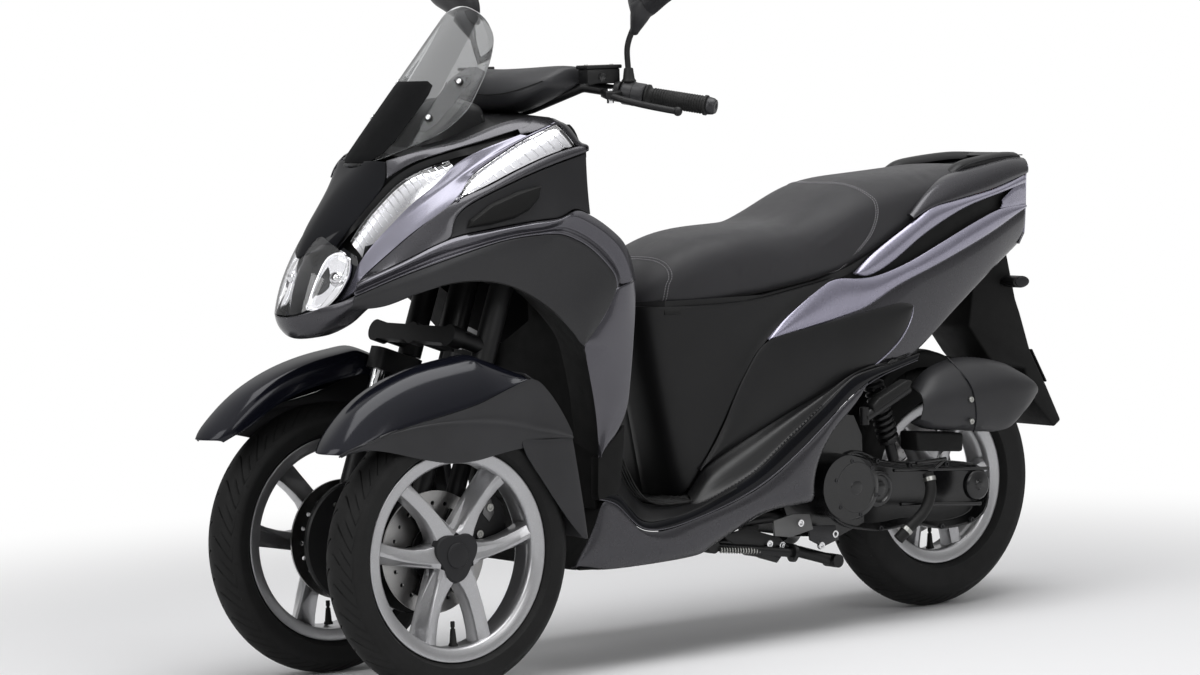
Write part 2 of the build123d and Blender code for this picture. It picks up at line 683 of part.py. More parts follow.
# ---------------------------------------------------------------- head tube and spine
HEAD_LOW = 640.0
HEAD_RADIUS = 26.0
with BuildPart() as head:
    with BuildSketch(steer_plane(0, HEAD_LOW)):
        Circle(HEAD_RADIUS)
    extrude(amount=HEAD_HIGH - HEAD_LOW)
    for level in ARM_LEVELS.values():
        add(rod(steer(0, level), steer(ARM_NEAR - SEAM, level), 15))
    spine = [(352, 640), (352, 820), (400, 870), (430, 850), (500, 680), (505, 640), (420, 600)]
    add(side_slab(spine, -18, 18))
    with BuildSketch(steer_plane(0, HEAD_LOW - 40)):
        Circle(STEM_RADIUS + PIN_GAP)
    extrude(amount=HEAD_HIGH - HEAD_LOW + 80, mode=Mode.SUBTRACT)
    # bridge from the spine to the back wall of the bay
    add(side_slab([(352, 700), (352, 790), (ARCH_REAR, 790), (ARCH_REAR, 700)], -60, 60))
    for used in (cowl.part, arches.part, shield.part):
        add(used, mode=Mode.SUBTRACT)
save(head.part, "head_frame")

# ---------------------------------------------------------------- floor, skirts and belly
FLOOR_SIDE = [
    (312, FLOOR_Z), (300, 330), (283, 420), (245, 352), (174, 292), (30, 290), (-33, 302), (-60, 320),
    (-60, 250), (312, 250),
]
FLOOR_HALF = 168.0
with BuildPart() as floor:
    add(side_slab(FLOOR_SIDE, -FLOOR_HALF, FLOOR_HALF))
    add(front_mass.part, mode=Mode.SUBTRACT)
save(floor.part, "footboard")

SKIRT_SIDE = [
    (ARCH_REAR, FLOOR_Z), (352, 262), (360, 240), (392, 206), (378, 191), (109, 191), (68, 224),
    (-45, 250), (-185, 262), (-178, 307), (-196, 356), (-273, 419), (-442, 528), (-422, 532),
    (-305, 494), (-261, 446), (-133, 361), (-33, 306), (112, 276), (218, 268), (253, 275), (298, 300),
    (312, FLOOR_Z),
]
SKIRT_PLAN = both_sides([
    (430, 150), (400, 182), (340, 205), (220, 206), (60, 200), (-100, 196), (-300, 190), (-445, 150),
])
SKIRT_IN = FLOOR_HALF + SEAM
PEG_PIVOT = Vector(-318, 177, 412)
PEG_TOP = 432.0
PEG_LENGTH = 112.0
with BuildPart() as skirts:
    for sign in SIDES.values():
        low_y, high_y = sorted((sign * SKIRT_IN, sign * BODY_HALF))
        add(side_slab(SKIRT_SIDE, low_y, high_y))
    # the belly pan joins both sides ahead of the floor
    add(side_slab([(ARCH_REAR, 249.7), (356, 249.7), (360, 240), (392, 206), (378, 191), (109, 191), (109, 249.7)],
                  -SKIRT_IN, SKIRT_IN))
    for sign in SIDES.values():
        low_y, high_y = sorted((sign * (PEG_PIVOT.Y - 11), sign * (PEG_PIVOT.Y + 11)))
        add(side_slab([(-327, PEG_TOP), (-292, PEG_TOP), (-280, 470), (-327, 475)], low_y, high_y))
    add(plan_slab(SKIRT_PLAN, 180, 540), mode=Mode.INTERSECT)
    add(front_mass.part, mode=Mode.SUBTRACT)
save(skirts.part, "side_skirts")

# ---------------------------------------------------------------- rear bodywork
REAR_SIDE = [
    (150, 646), (-101, 646), (-233, 666), (-301, 686), (-438, 738), (-647, 838), (-775, 842),
    (-787, 900), (-832, 880), (-833, 854), (-824, 738), (-809, 712), (-726, 664), (-590, 574),
    (-523, 520), (-442, 535), (-422, 533), (-305, 495), (-261, 447), (-133, 362), (-60, 321.3),
    (-33, 303.3), (30, 291.3), (86, 292), (100, 420),
]
REAR_PLAN = both_sides([
    (155, 96), (110, 122), (-60, 146), (-200, 158), (-330, 164), (-520, 158), (-650, 142), (-760, 118),
    (-833, 92),
])
BIN_HALF = 118.0
BIN_WALL = 3.0
BIN_IN = [(56, 660), (56, 474), (-62, 444), (-326, 444), (-326, 660)]
CENTRE_BACK = -60.0

with BuildPart() as rear_mass:
    add(side_slab(REAR_SIDE, -170, 170))
    add(plan_slab(REAR_PLAN, 280, 910), mode=Mode.INTERSECT)

with BuildPart() as bin_space:
    with BuildSketch(Plane.XZ.offset(-BIN_HALF)):
        with BuildLine():
            Polyline((60, 700), (60, 470), (-60, 440), (-330, 440), (-330, 700), close=True)
        make_face()
    extrude(amount=2 * BIN_HALF)

with BuildPart() as bin_part:
    add(bin_space.part)
    add(side_slab(BIN_IN, -BIN_HALF + BIN_WALL, BIN_HALF - BIN_WALL), mode=Mode.SUBTRACT)
    add(plan_slab([(-400, -200), (100, -200), (100, 200), (-400, 200)], 640, 720), mode=Mode.SUBTRACT)
save(bin_part.part, "storage_bin")

UNDER_BIN = [(-60, 439.7), (-61, 300), (-700, 300), (-520, 560), (-330.3, 600), (-330.3, 439.7)]
with BuildPart() as centre:
    add(rear_mass.part)
    add(side_slab([(160, 700), (CENTRE_BACK, 700), (CENTRE_BACK, 280), (160, 280)], -170, 170), mode=Mode.INTERSECT)
    add(bin_space.part, mode=Mode.SUBTRACT)
save(centre.part, "centre_cover")

TAIL_FRONT = -452.0
with BuildPart() as covers:
    add(rear_mass.part)
    add(side_slab([(CENTRE_BACK, 700), (CENTRE_BACK, 280), (TAIL_FRONT, 280), (TAIL_FRONT, 760)], -170, 170),
        mode=Mode.INTERSECT)
    add(bin_space.part, mode=Mode.SUBTRACT)
    # the engine's top sits in the space between the two sides
    add(side_slab(UNDER_BIN, -BIN_HALF, BIN_HALF), mode=Mode.SUBTRACT)
save(covers.part, "side_covers")

LAMP_HALF = 72.0
LAMP_SIDE = [(-812, 742), (-824, 738), (-833, 846), (-812, 846)]
with BuildPart() as tail_lamp:
    add(rear_mass.part)
    add(side_slab(LAMP_SIDE, -LAMP_HALF, LAMP_HALF), mode=Mode.INTERSECT)
save(tail_lamp.part, "tail_lamp")

with BuildPart() as tail:
    add(rear_mass.part)
    add(side_slab([(TAIL_FRONT, 500), (TAIL_FRONT, 910), (-840, 910), (-840, 500)], -170, 170),
        mode=Mode.INTERSECT)
    add(tail_lamp.part, mode=Mode.SUBTRACT)
    # wheel well, open below
    add(side_slab([(TAIL_FRONT - 8, 480), (TAIL_FRONT - 8, 560), (-700, 620), (-740, 480)], -90, 90),
        mode=Mode.SUBTRACT)
save(tail.part, "tail_cover")

RAIL_SIDE = [(-560, 872), (-700, 898), (-800, 905), (-845, 892), (-845, 872), (-800, 884), (-700, 878), (-560, 850)]
with BuildPart() as rail:
    with BuildSketch(Plane.XY.offset(845)):
        with BuildLine():
            Polyline(*both_sides([(-560, 160), (-700, 146), (-800, 120), (-843, 84)]), close=True)
        make_face()
        with BuildLine():
            Polyline(*both_sides([(-559, 140), (-690, 126), (-780, 104), (-812, 72)]), close=True)
        make_face(mode=Mode.SUBTRACT)
    extrude(amount=65)
    add(side_slab(RAIL_SIDE, -170, 170), mode=Mode.INTERSECT)
    add(rear_mass.part, mode=Mode.SUBTRACT)
save(rail.part, "grab_rail")

# ---------------------------------------------------------------- seat
SEAT_SIDE = [
    (150, 646.3), (-101, 646.3), (-233, 666.3), (-301, 686.3), (-438, 738.3), (-647, 838.3),
    (-775, 842.3), (-760, 866), (-717, 873), (-664, 878), (-558, 874), (-471, 867), (-411, 866),
    (-350, 857), (-299, 831), (-214, 787), (-74, 785), (32, 765), (81, 745), (120, 716), (148, 680),
]
SEAT_PLAN = both_sides([
    (150, 70), (110, 112), (-60, 142), (-200, 150), (-330, 156), (-520, 142), (-650, 116), (-760, 90),
    (-775, 60),
])
SEAT_BASE_RISE = 14.0
with BuildPart() as seat_mass:
    add(side_slab(SEAT_SIDE, -160, 160))
    add(plan_slab(SEAT_PLAN, 640, 890), mode=Mode.INTERSECT)
    add(rail.part, mode=Mode.SUBTRACT)

BASE_TOP = [(x, z + SEAT_BASE_RISE) for x, z in REAR_SIDE[:7]]
with BuildPart() as seat_base:
    add(seat_mass.part)
    add(side_slab([(150, 600)] + BASE_TOP + [(-790, 600)], -160, 160), mode=Mode.INTERSECT)
save(seat_base.part, "seat_base")
with BuildPart() as cushion:
    add(seat_mass.part)
    add(side_slab([(150, 600)] + BASE_TOP + [(-790, 600)], -160, 160), mode=Mode.SUBTRACT)
save(cushion.part, "seat_cushion")

# ---------------------------------------------------------------- engine, drive and rear running gear
CASE_OUT = 152.0
CASE_IN = 72.0
ENGINE_BACK = REAR_X + REAR_TYRE_RADIUS + 14.0
CASE_SIDE = [
    (ENGINE_BACK - SEAM, 322), (-560, 324), (-690, 300), (-700, 250), (-687, 215), (-613, 172),
    (-514, 162), (-420, 190), (ENGINE_BACK - SEAM, 214),
]
with BuildPart() as case:
    add(side_slab(CASE_SIDE, CASE_IN, CASE_OUT))
    add(rod((-404, CASE_OUT, 262), (-404, CASE_OUT + 9, 262), 33))
    add(rod((REAR_X, HUB_HALF + 3, REAR_TYRE_RADIUS), (REAR_X, CASE_IN + 1, REAR_TYRE_RADIUS), 30))
    # the axle runs from the case through the wheel to the right-hand arm
    add(rod((REAR_X, -96, REAR_TYRE_RADIUS), (REAR_X, CASE_IN + 1, REAR_TYRE_RADIUS), AXLE_RADIUS))
save(case.part, "transmission_case")

ENGINE_SIDE = [
    (ENGINE_BACK, 200), (-300, 178), (-190, 190), (-160, 262), (-170, 380), (-240, 420),
    (ENGINE_BACK + 20, 410), (ENGINE_BACK, 370),
]
with BuildPart() as engine:
    add(side_slab(ENGINE_SIDE, -112, 112))
    add(rod((-277, 111, 280), (-277, 172, 280), 62))
    add(side_slab([(-180, 260), (-190, 340), (-330, 350), (-340, 250), (-260, 220)], -152, -111))
    add(side_slab([(-200, 300), (-60.3, 300), (-60.3, 370), (-200, 372)], -70, 70))
    add(side_slab([(-159, 330), (-120, 262), (-59.7, 262), (-59.7, 299)], -60, 60))
    add(side_slab([(-240, 400), (-240, 439.4), (-330, 439.4), (-330, 400)], -60, 60))
    for used in (floor.part, skirts.part, centre.part, covers.part):
        add(used, mode=Mode.SUBTRACT)
save(engine.part, "engine_block")

ARM_Y = -84.0
with BuildPart() as rear_arm:
    add(side_slab(
        [(ENGINE_BACK - SEAM, 304), (-640, 276), (-662, 252), (-640, 226), (-600, 222),
         (ENGINE_BACK - SEAM, 226)],
        ARM_Y - 12, ARM_Y,
    ))
    add(rod((REAR_X, -60, REAR_TYRE_RADIUS), (REAR_X, ARM_Y, REAR_TYRE_RADIUS), 22))
    add(rod((REAR_X, -30, REAR_TYRE_RADIUS), (REAR_X, -110, REAR_TYRE_RADIUS), AXLE_RADIUS + SEAM),
        mode=Mode.SUBTRACT)
save(rear_arm.part, "rear_arm")

FILTER_SIDE = [
    (-468, 470), (-516, 498), (-610, 508), (-705, 485), (-767, 454), (-788, 426), (-716, 353),
    (-592, 345), (-465, 374),
]
with BuildPart() as air_box:
    add(side_slab(FILTER_SIDE, 112, 192))
    add(side_slab([(-500, 360), (-500, 324.3), (-540, 324.3), (-540, 360)], 114, 150))
save(air_box.part, "air_cleaner")

PIPE_RADIUS = 16.0
MUFFLER_RADIUS = 58.0
with BuildPart() as muffler:
    add(rod((-470, -165, 262), (-840, -172, 338), MUFFLER_RADIUS))
    add(rod((-838, -172, 337.6), (-880, -172, 346), 34))
    add(tube_path([(-300, -60, 170), (-380, -110, 150), (-440, -160, 220), (-480, -165, 264)], PIPE_RADIUS, 26))
    add(rod((-560, -130, 262), (-560, ARM_Y - 12 - SEAM, 262), 12))
    add(engine.part, mode=Mode.SUBTRACT)
save(muffler.part, "muffler")

SHOCKS = (
    # lower eye, upper eye, spring radius
    ((-430, 132, 318), (-366, 132, 524), 23),
    ((-575, -80, 284), (-500, -80, 572), 18),
)
with BuildPart() as shocks:
    for low, high, spring in SHOCKS:
        way = (Vector(high) - Vector(low)).normalized()
        add(rod(low, high, 11))
        add(rod(Vector(low) + way * 42, Vector(high) - way * 60, spring))
    for used in (covers.part, tail.part, engine.part, case.part, air_box.part, skirts.part, muffler.part,
                 rear_arm.part):
        add(used, mode=Mode.SUBTRACT)
save(shocks.part, "rear_shocks")

FLAP_SIDE = [
    (-720, 668), (-809, 713), (-822, 640), (-850, 560), (-OVERALL_LENGTH / 2, 352), (-925, 335),
    (-800, 470), (-742, 500), (-690, 560),
]
with BuildPart() as flap:
    add(side_slab(FLAP_SIDE, -64, 64))
    add(side_slab([(-722, 660), (-812, 690), (-812, 640), (-740, 620)], -100, 100))
    add(tail.part, mode=Mode.SUBTRACT)
save(flap.part, "rear_fender")

# ---------------------------------------------------------------- stands and pillion pegs
RAIL_Y = 84.0
RAIL_Z = 230.0
RAIL_RADIUS = 14.0
CROSS_RADIUS = 10.0
BOSS_RADIUS = 14.0
STAND_PIVOT = Vector(40, 140, 196)
STAND_LENGTH = 176.0
CENTRE_PIVOT = Vector(-118, 0, 186)
CENTRE_LENGTH = 158.0
CENTRE_HALF = 88.0

with BuildPart() as rails:
    for sign in SIDES.values():
        add(rod((108.7, sign * RAIL_Y, RAIL_Z), (-176, sign * RAIL_Y, RAIL_Z), RAIL_RADIUS))
        low_y, high_y = sorted((sign * (CENTRE_HALF - 26), sign * (CENTRE_HALF - 14 - SEAM)))
        add(side_slab([(-134, 232), (-132, 176), (-104, 176), (-84, 232)], low_y, high_y))
    add(rod((-40, -RAIL_Y, RAIL_Z), (-40, RAIL_Y, RAIL_Z), CROSS_RADIUS))
    add(side_slab([(14, 232), (26, 184), (54, 184), (66, 232)], RAIL_Y - 4, RAIL_Y + 6))
    add(rod((STAND_PIVOT.X, RAIL_Y, STAND_PIVOT.Z), (STAND_PIVOT.X, STAND_PIVOT.Y - 12 - SEAM, STAND_PIVOT.Z), 12))
    add(engine.part, mode=Mode.SUBTRACT)
save(rails.part, "frame_rails")

with BuildPart() as side_stand:
    add(rod(STAND_PIVOT - Vector(0, 12, 0), STAND_PIVOT + Vector(0, 12, 0), 13))
    foot = STAND_PIVOT + Vector(-STAND_LENGTH, 26, -28)
    leg_way = (foot - STAND_PIVOT).normalized()
    add(rod(STAND_PIVOT + Vector(0, 2, 0), foot, 8.5))
    add(rod(foot, foot + leg_way * 7, 17))
save(side_stand.part, "side_stand")

with BuildPart() as centre_stand:
    for sign in SIDES.values():
        top = CENTRE_PIVOT + Vector(0, sign * CENTRE_HALF, 0)
        foot = CENTRE_PIVOT + Vector(-CENTRE_LENGTH, sign * (CENTRE_HALF + 34), -50)
        add(rod(top - Vector(0, 14, 0), top + Vector(0, 14, 0), BOSS_RADIUS))
        add(rod(top, foot, 11))
        add(rod(foot - Vector(0, 18, 0), foot + Vector(0, 18, 0), 13))
    bar = CENTRE_PIVOT + Vector(-60, 0, -19)
    add(rod(bar - Vector(0, CENTRE_HALF + 8, 0), bar + Vector(0, CENTRE_HALF + 8, 0), 9))
save(centre_stand.part, "centre_stand")

for side, sign in SIDES.items():
    hinge = Vector(PEG_PIVOT.X, sign * PEG_PIVOT.Y, PEG_PIVOT.Z)
    with BuildPart() as peg:
        add(rod(hinge - Vector(0, 0, 14), (hinge.X, hinge.Y, PEG_TOP - SEAM), 9))
        add(rod(hinge, hinge + Vector(-PEG_LENGTH, 0, 48), 10.5))
    save(peg.part, f"pillion_peg_{side}")
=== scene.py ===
# %% [markdown]
# A leaning three-wheeled scooter, dressed for a studio picture.
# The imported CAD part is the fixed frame: it gives the bodies that move, the hard points and the size.
# Every new piece is modelled in millimetres, scaled to metres at the end and tied to the body it moves with.

# %% Load the frame
import math

import bmesh
import bpy
from mathutils import Matrix, Vector
from mathutils.bvhtree import BVHTree


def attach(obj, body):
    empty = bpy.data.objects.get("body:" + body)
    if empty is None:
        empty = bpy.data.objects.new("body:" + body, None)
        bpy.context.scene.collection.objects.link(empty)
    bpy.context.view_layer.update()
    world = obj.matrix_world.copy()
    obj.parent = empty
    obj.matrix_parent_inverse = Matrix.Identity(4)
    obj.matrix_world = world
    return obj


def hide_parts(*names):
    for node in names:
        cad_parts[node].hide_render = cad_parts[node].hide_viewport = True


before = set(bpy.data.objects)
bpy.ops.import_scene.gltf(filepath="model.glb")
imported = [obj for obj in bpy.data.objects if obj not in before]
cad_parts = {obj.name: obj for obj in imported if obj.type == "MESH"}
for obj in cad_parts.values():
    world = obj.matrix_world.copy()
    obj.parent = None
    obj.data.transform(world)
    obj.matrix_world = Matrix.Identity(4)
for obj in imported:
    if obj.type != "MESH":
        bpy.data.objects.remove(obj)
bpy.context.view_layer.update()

# %% [markdown]
# The camera stands well back on the left and in front, with a long lens, so that lines hardly converge.
# Position, heading, pitch and roll are set as numbers, because an aim at a point could not give the roll.

# %% Camera
scene = bpy.context.scene


def shown(name, data):
    """A new object in the scene."""
    made = bpy.data.objects.new(name, data)
    scene.collection.objects.link(made)
    return made


CAMERA_SPOT = Vector((4.7813, 6.0202, 1.1604))
HEADING, PITCH, ROLL = (math.radians(a) for a in (-127.397, -4.287, -1.654))
LENS_MM = 121.66

look = Vector((math.cos(PITCH) * math.cos(HEADING), math.cos(PITCH) * math.sin(HEADING), math.sin(PITCH)))
level = look.cross(Vector((0, 0, 1))).normalized()
upright = level.cross(look)
right = math.cos(ROLL) * level + math.sin(ROLL) * upright
up = math.cos(ROLL) * upright - math.sin(ROLL) * level
camera_data = bpy.data.cameras.new("studio_camera")
camera_data.lens = LENS_MM
camera_data.sensor_width = 36.0
camera = shown("studio_camera", camera_data)
camera.matrix_world = Matrix((
    (right.x, up.x, -look.x, CAMERA_SPOT.x), (right.y, up.y, -look.y, CAMERA_SPOT.y),
    (right.z, up.z, -look.z, CAMERA_SPOT.z), (0, 0, 0, 1)))
scene.camera = camera
print("camera looks along", tuple(round(c, 3) for c in look))

# %% [markdown]
# The studio is a white sweep with a soft shadow under the machine. Close to the object the floor is an
# ordinary pale surface that takes the shadow; further out it turns into even white, for the camera only,
# so the white lights nothing. The world does the same: white where it is seen, softer as a light.

# %% Floor, world and lights
scene.view_settings.view_transform = "Standard"
WORLD_LIGHT, HORIZON_GLOSS = 0.36, 0.30
GLOW_FROM, GLOW_TO = 0.12, 0.75           # heights between which mirrors see grey turn to white
FLOOR_HALF, FLOOR_COLOUR = 30.0, (0.86, 0.86, 0.87, 1)
FADE_FROM, FADE_TO = 1.15, 2.6            # metres from the middle between which the floor turns white


def node(tree, kind, values=(), **settings):
    """A new shader node with its settings and the values of its inputs."""
    made = tree.nodes.new("ShaderNode" + kind)
    for key, value in settings.items():
        setattr(made, key, value)
    for key, value in dict(values).items():
        made.inputs[key].default_value = value
    return made


def link(tree, *pairs):
    """Joins sockets in pairs: from, to, from, to."""
    for start, end in zip(pairs[::2], pairs[1::2]):
        tree.links.new(start, end)


def seen_directly(tree):
    """A socket that is 1 for camera, mirror and see-through rays, and 0 for light."""
    path = node(tree, "LightPath")
    first, second = (node(tree, "Math", operation="MAXIMUM") for _ in range(2))
    link(tree, path.outputs["Is Camera Ray"], first.inputs[0], path.outputs["Is Glossy Ray"], first.inputs[1],
         first.outputs[0], second.inputs[0], path.outputs["Is Transmission Ray"], second.inputs[1])
    return second.outputs[0]


world = bpy.data.worlds.new("studio_world")
scene.world = world
world.use_nodes = True
sky = world.node_tree
background = sky.nodes["Background"]
background.inputs["Color"].default_value = (1, 1, 1, 1)
way = node(sky, "TexCoord")
height = node(sky, "SeparateXYZ")
glow = node(sky, "MapRange", {"From Min": GLOW_FROM, "From Max": GLOW_TO, "To Min": HORIZON_GLOSS},
            interpolation_type="SMOOTHSTEP")
rays = node(sky, "LightPath")
seen = node(sky, "Mix", {"A": 1.0})
strength = node(sky, "Mix", {"A": WORLD_LIGHT})
link(sky, way.outputs["Generated"], height.inputs[0], height.outputs["Z"], glow.inputs["Value"],
     rays.outputs["Is Glossy Ray"], seen.inputs["Factor"], glow.outputs[0], seen.inputs["B"],
     seen_directly(sky), strength.inputs["Factor"], seen.outputs["Result"], strength.inputs["B"],
     strength.outputs["Result"], background.inputs["Strength"])

bm = bmesh.new()
bmesh.ops.create_grid(bm, x_segments=2, y_segments=2, size=FLOOR_HALF)
floor_mesh = bpy.data.meshes.new("studio_floor")
bm.to_mesh(floor_mesh)
bm.free()
floor = shown("studio_floor", floor_mesh)

floor_finish = bpy.data.materials.new("studio_sweep")
floor_finish.use_nodes = True
tree = floor_finish.node_tree
tree.nodes.remove(tree.nodes["Principled BSDF"])
paper = node(tree, "BsdfDiffuse", {"Color": FLOOR_COLOUR})
white = node(tree, "Emission")
place = node(tree, "TexCoord")
spread = node(tree, "VectorMath", operation="LENGTH")
fade = node(tree, "MapRange", {"From Min": FADE_FROM, "From Max": FADE_TO}, interpolation_type="SMOOTHSTEP")
both = node(tree, "Math", operation="MULTIPLY")
mixed = node(tree, "MixShader")
link(tree, place.outputs["Object"], spread.inputs[0], spread.outputs["Value"], fade.inputs["Value"],
     fade.outputs[0], both.inputs[0], seen_directly(tree), both.inputs[1], both.outputs[0], mixed.inputs[0],
     paper.outputs[0], mixed.inputs[1], white.outputs[0], mixed.inputs[2],
     mixed.outputs[0], tree.nodes["Material Output"].inputs["Surface"])
floor_mesh.materials.append(floor_finish)


def soft_box(name, spot, aim, width, height, watts):
    """A rectangular studio light turned towards a point."""
    data = bpy.data.lights.new(name, "AREA")
    data.shape = "RECTANGLE"
    data.size, data.size_y, data.energy = width, height, watts
    lamp = shown(name, data)
    lamp.location = spot
    lamp.rotation_euler = (Vector(aim) - Vector(spot)).to_track_quat("-Z", "Y").to_euler()


soft_box("overhead_light", (0.2, 0.6, 3.6), (0, 0, 0.4), 3.4, 2.2, 92)
soft_box("front_light", (4.6, 1.0, 2.4), (0.2, 0, 0.5), 1.8, 2.4, 46)
soft_box("side_light", (0.6, 5.0, 2.6), (0, 0, 0.5), 3.4, 1.2, 40)
# %% [markdown]
# Real finishes are never one number: paint has flake, plastic has a moulded grain, rubber is dusty in
# places. Each finish here is one recipe with different numbers. A broad noise moves the colour a little,
# a finer one moves the roughness, and a third raises the grain as bump. All read Object coordinates,
# which are metres, so a scale of 1000 gives marks about a millimetre wide.

# %% Finishes
BUMP_DEPTH = 0.0006        # metres, how far the finest relief reaches


def bump_of(tree, place, pattern, size, height):
    """The surface's fine relief: its texture and how strongly it shows."""
    bump = node(tree, "Bump", {"Strength": height, "Distance": BUMP_DEPTH})
    source = place.outputs["Object"]
    if pattern == "leather":
        marks = node(tree, "TexVoronoi", {"Scale": size}, feature="DISTANCE_TO_EDGE")
    else:
        marks = node(tree, "TexNoise", {"Scale": size, "Detail": 3.0})
    if pattern == "brushed":
        turn = node(tree, "Mapping", {"Scale": (1.0, 0.05, 1.0)})
        link(tree, source, turn.inputs["Vector"])
        source = turn.outputs[0]
    link(tree, source, marks.inputs["Vector"], marks.outputs[0], bump.inputs["Height"])
    return bump


def finish(name, colour, rough, metal=0.0, mottle=0.15, grain="cast", grain_size=900.0, grain_height=0.0,
           coat=0.0, coat_rough=0.05, specular=0.5, sheen=0.0, flake=0.0, see_through=0.0, ior=1.5):
    """A procedural material: a mottled colour, patchy roughness, fine relief and, in paint, flake."""
    made = bpy.data.materials.new(name)
    made.use_nodes = True
    tree = made.node_tree
    shader = tree.nodes["Principled BSDF"]
    place = node(tree, "TexCoord")
    cloud = node(tree, "TexNoise", {"Scale": 9.0, "Detail": 4.0})
    tint = node(tree, "ValToRGB")
    for stop, position, share in zip(tint.color_ramp.elements, (0.3, 0.7), (1 - mottle, 1 + mottle)):
        stop.position = position
        stop.color = (*[min(1.0, c * share) for c in colour], 1)
    link(tree, place.outputs["Object"], cloud.inputs["Vector"], cloud.outputs[0], tint.inputs[0])
    last = tint.outputs[0]
    if flake:
        dots = node(tree, "TexVoronoi", {"Scale": 1700.0})
        spark = node(tree, "MapRange", {"From Min": 0.72, "To Max": flake})
        mix = node(tree, "Mix", data_type="RGBA")
        mix.inputs["B"].default_value = (*[min(1.0, c * 2.6 + 0.05) for c in colour], 1)
        link(tree, place.outputs["Object"], dots.inputs["Vector"], dots.outputs["Color"], spark.inputs["Value"],
             spark.outputs[0], mix.inputs["Factor"], last, mix.inputs["A"])
        last = mix.outputs["Result"]
    wear = node(tree, "TexNoise", {"Scale": 45.0, "Detail": 5.0})
    span = node(tree, "MapRange", {"To Min": rough * 0.82, "To Max": min(1.0, rough * 1.2 + 0.01)})
    link(tree, last, shader.inputs["Base Color"], place.outputs["Object"], wear.inputs["Vector"],
         wear.outputs[0], span.inputs["Value"], span.outputs[0], shader.inputs["Roughness"])
    if grain_height:
        link(tree, bump_of(tree, place, grain, grain_size, grain_height).outputs[0], shader.inputs["Normal"])
    for socket, value in (("Metallic", metal), ("Coat Weight", coat), ("Coat Roughness", coat_rough),
                          ("Specular IOR Level", specular), ("Sheen Weight", sheen),
                          ("Transmission Weight", see_through), ("IOR", ior)):
        shader.inputs[socket].default_value = value
    return made


GUNMETAL = finish("gunmetal_paint", (0.050, 0.049, 0.055), 0.27, metal=0.7, mottle=0.05, flake=0.1, coat=0.3)
# A lighter copy of the gunmetal paint: a painted highlight on the ridge, the leg panel and the skirt's edge line.
GUNMETAL_HIGHLIGHT = finish("gunmetal_painted_highlight", (0.078, 0.076, 0.088), 0.19, metal=0.75, mottle=0.05, flake=0.1,
                      coat=0.4)
DARK_METAL = finish("dark_metal_paint", (0.021, 0.021, 0.023), 0.40, metal=0.45, mottle=0.06, flake=0.25, coat=0.12,
                    coat_rough=0.2)
# The lavender grey is the gunmetal paint made lighter: a painted highlight for the cowl's upper band.
LAVENDER_HIGHLIGHT = finish("lavender_painted_highlight", (0.205, 0.20, 0.245), 0.24, metal=0.75, mottle=0.05, flake=0.1, coat=0.4)
NAVY = finish("navy_paint", (0.006, 0.0065, 0.011), 0.14, metal=0.2, mottle=0.08, flake=0.08, coat=0.12,
              specular=0.25)
GLOSS_BLACK = finish("gloss_black_plastic", (0.0035, 0.0038, 0.0055), 0.06, mottle=0.2, specular=0.17,
                     grain_size=30, grain_height=0.02)
SATIN_BLACK = finish("satin_black_plastic", (0.0075, 0.0075, 0.008), 0.36, grain_size=1500, grain_height=0.1,
                     specular=0.3)
MATTE_BLACK = finish("matte_black_plastic", (0.0055, 0.0055, 0.0055), 0.6, grain_size=1300, grain_height=0.3,
                     specular=0.18)
MASK_BLACK = finish("screen_mask_black", (0.0015, 0.0016, 0.002), 0.55, mottle=0.2, specular=0.06)
BODY_BLACK = finish("body_black_plastic", (0.008, 0.008, 0.0085), 0.40, grain_size=1400, grain_height=0.15,
                    specular=0.28)
VENT_GREY = finish("vent_grey_plastic", (0.015, 0.015, 0.0165), 0.45, grain_size=1300, grain_height=0.15,
                   specular=0.25)
TRIM_GREY = finish("trim_grey_plastic", (0.024, 0.024, 0.026), 0.42, grain_size=1400, grain_height=0.12,
                   specular=0.3)
SILVER_STRIP = finish("silver_lavender_paint", (0.27, 0.26, 0.33), 0.26, metal=0.7, mottle=0.05, flake=0.12, coat=0.4)
TYRE_RUBBER = finish("tyre_rubber", (0.0085, 0.0085, 0.0085), 0.62, grain_size=700, grain_height=0.25,
                     specular=0.22, mottle=0.25)
GRIP_RUBBER = finish("grip_rubber", (0.008, 0.008, 0.008), 0.55, grain_size=1100, grain_height=0.3, specular=0.25)
WHEEL_SILVER = finish("wheel_silver_paint", (0.40, 0.40, 0.41), 0.30, metal=0.8, mottle=0.05, flake=0.3, coat=0.3)
DISC_STEEL = finish("disc_steel", (0.36, 0.355, 0.35), 0.30, metal=1.0, grain="brushed", grain_size=600,
                    grain_height=0.25)
CHROME = finish("bright_chrome", (0.75, 0.75, 0.76), 0.07, metal=1.0, mottle=0.03)
ZINC = finish("zinc_bolt_steel", (0.42, 0.42, 0.40), 0.34, metal=1.0, mottle=0.15, grain_size=900, grain_height=0.1)
CAST_BLACK = finish("black_casting", (0.009, 0.009, 0.0095), 0.42, metal=0.2, grain_size=700, grain_height=0.3,
                    specular=0.3)
CAST_ALLOY = finish("engine_alloy", (0.14, 0.14, 0.14), 0.44, metal=0.85, grain_size=650, grain_height=0.4,
                    mottle=0.2)
FRAME_BLACK = finish("frame_black_paint", (0.007, 0.007, 0.0075), 0.32, grain_size=400, grain_height=0.1,
                     specular=0.3)
ENGINE_BLACK = finish("engine_black_paint", (0.0065, 0.0065, 0.007), 0.22, metal=0.25, grain_size=500,
                      grain_height=0.1, coat=0.25, coat_rough=0.18)
MUFFLER_BLACK = finish("muffler_black_paint", (0.012, 0.012, 0.012), 0.42, metal=0.3, grain_size=800,
                       grain_height=0.25, mottle=0.3, specular=0.3)
SEAT_VINYL = finish("seat_vinyl", (0.019, 0.0185, 0.021), 0.50, grain="leather", grain_size=620, grain_height=0.32,
                    specular=0.3, sheen=0.12, mottle=0.08)
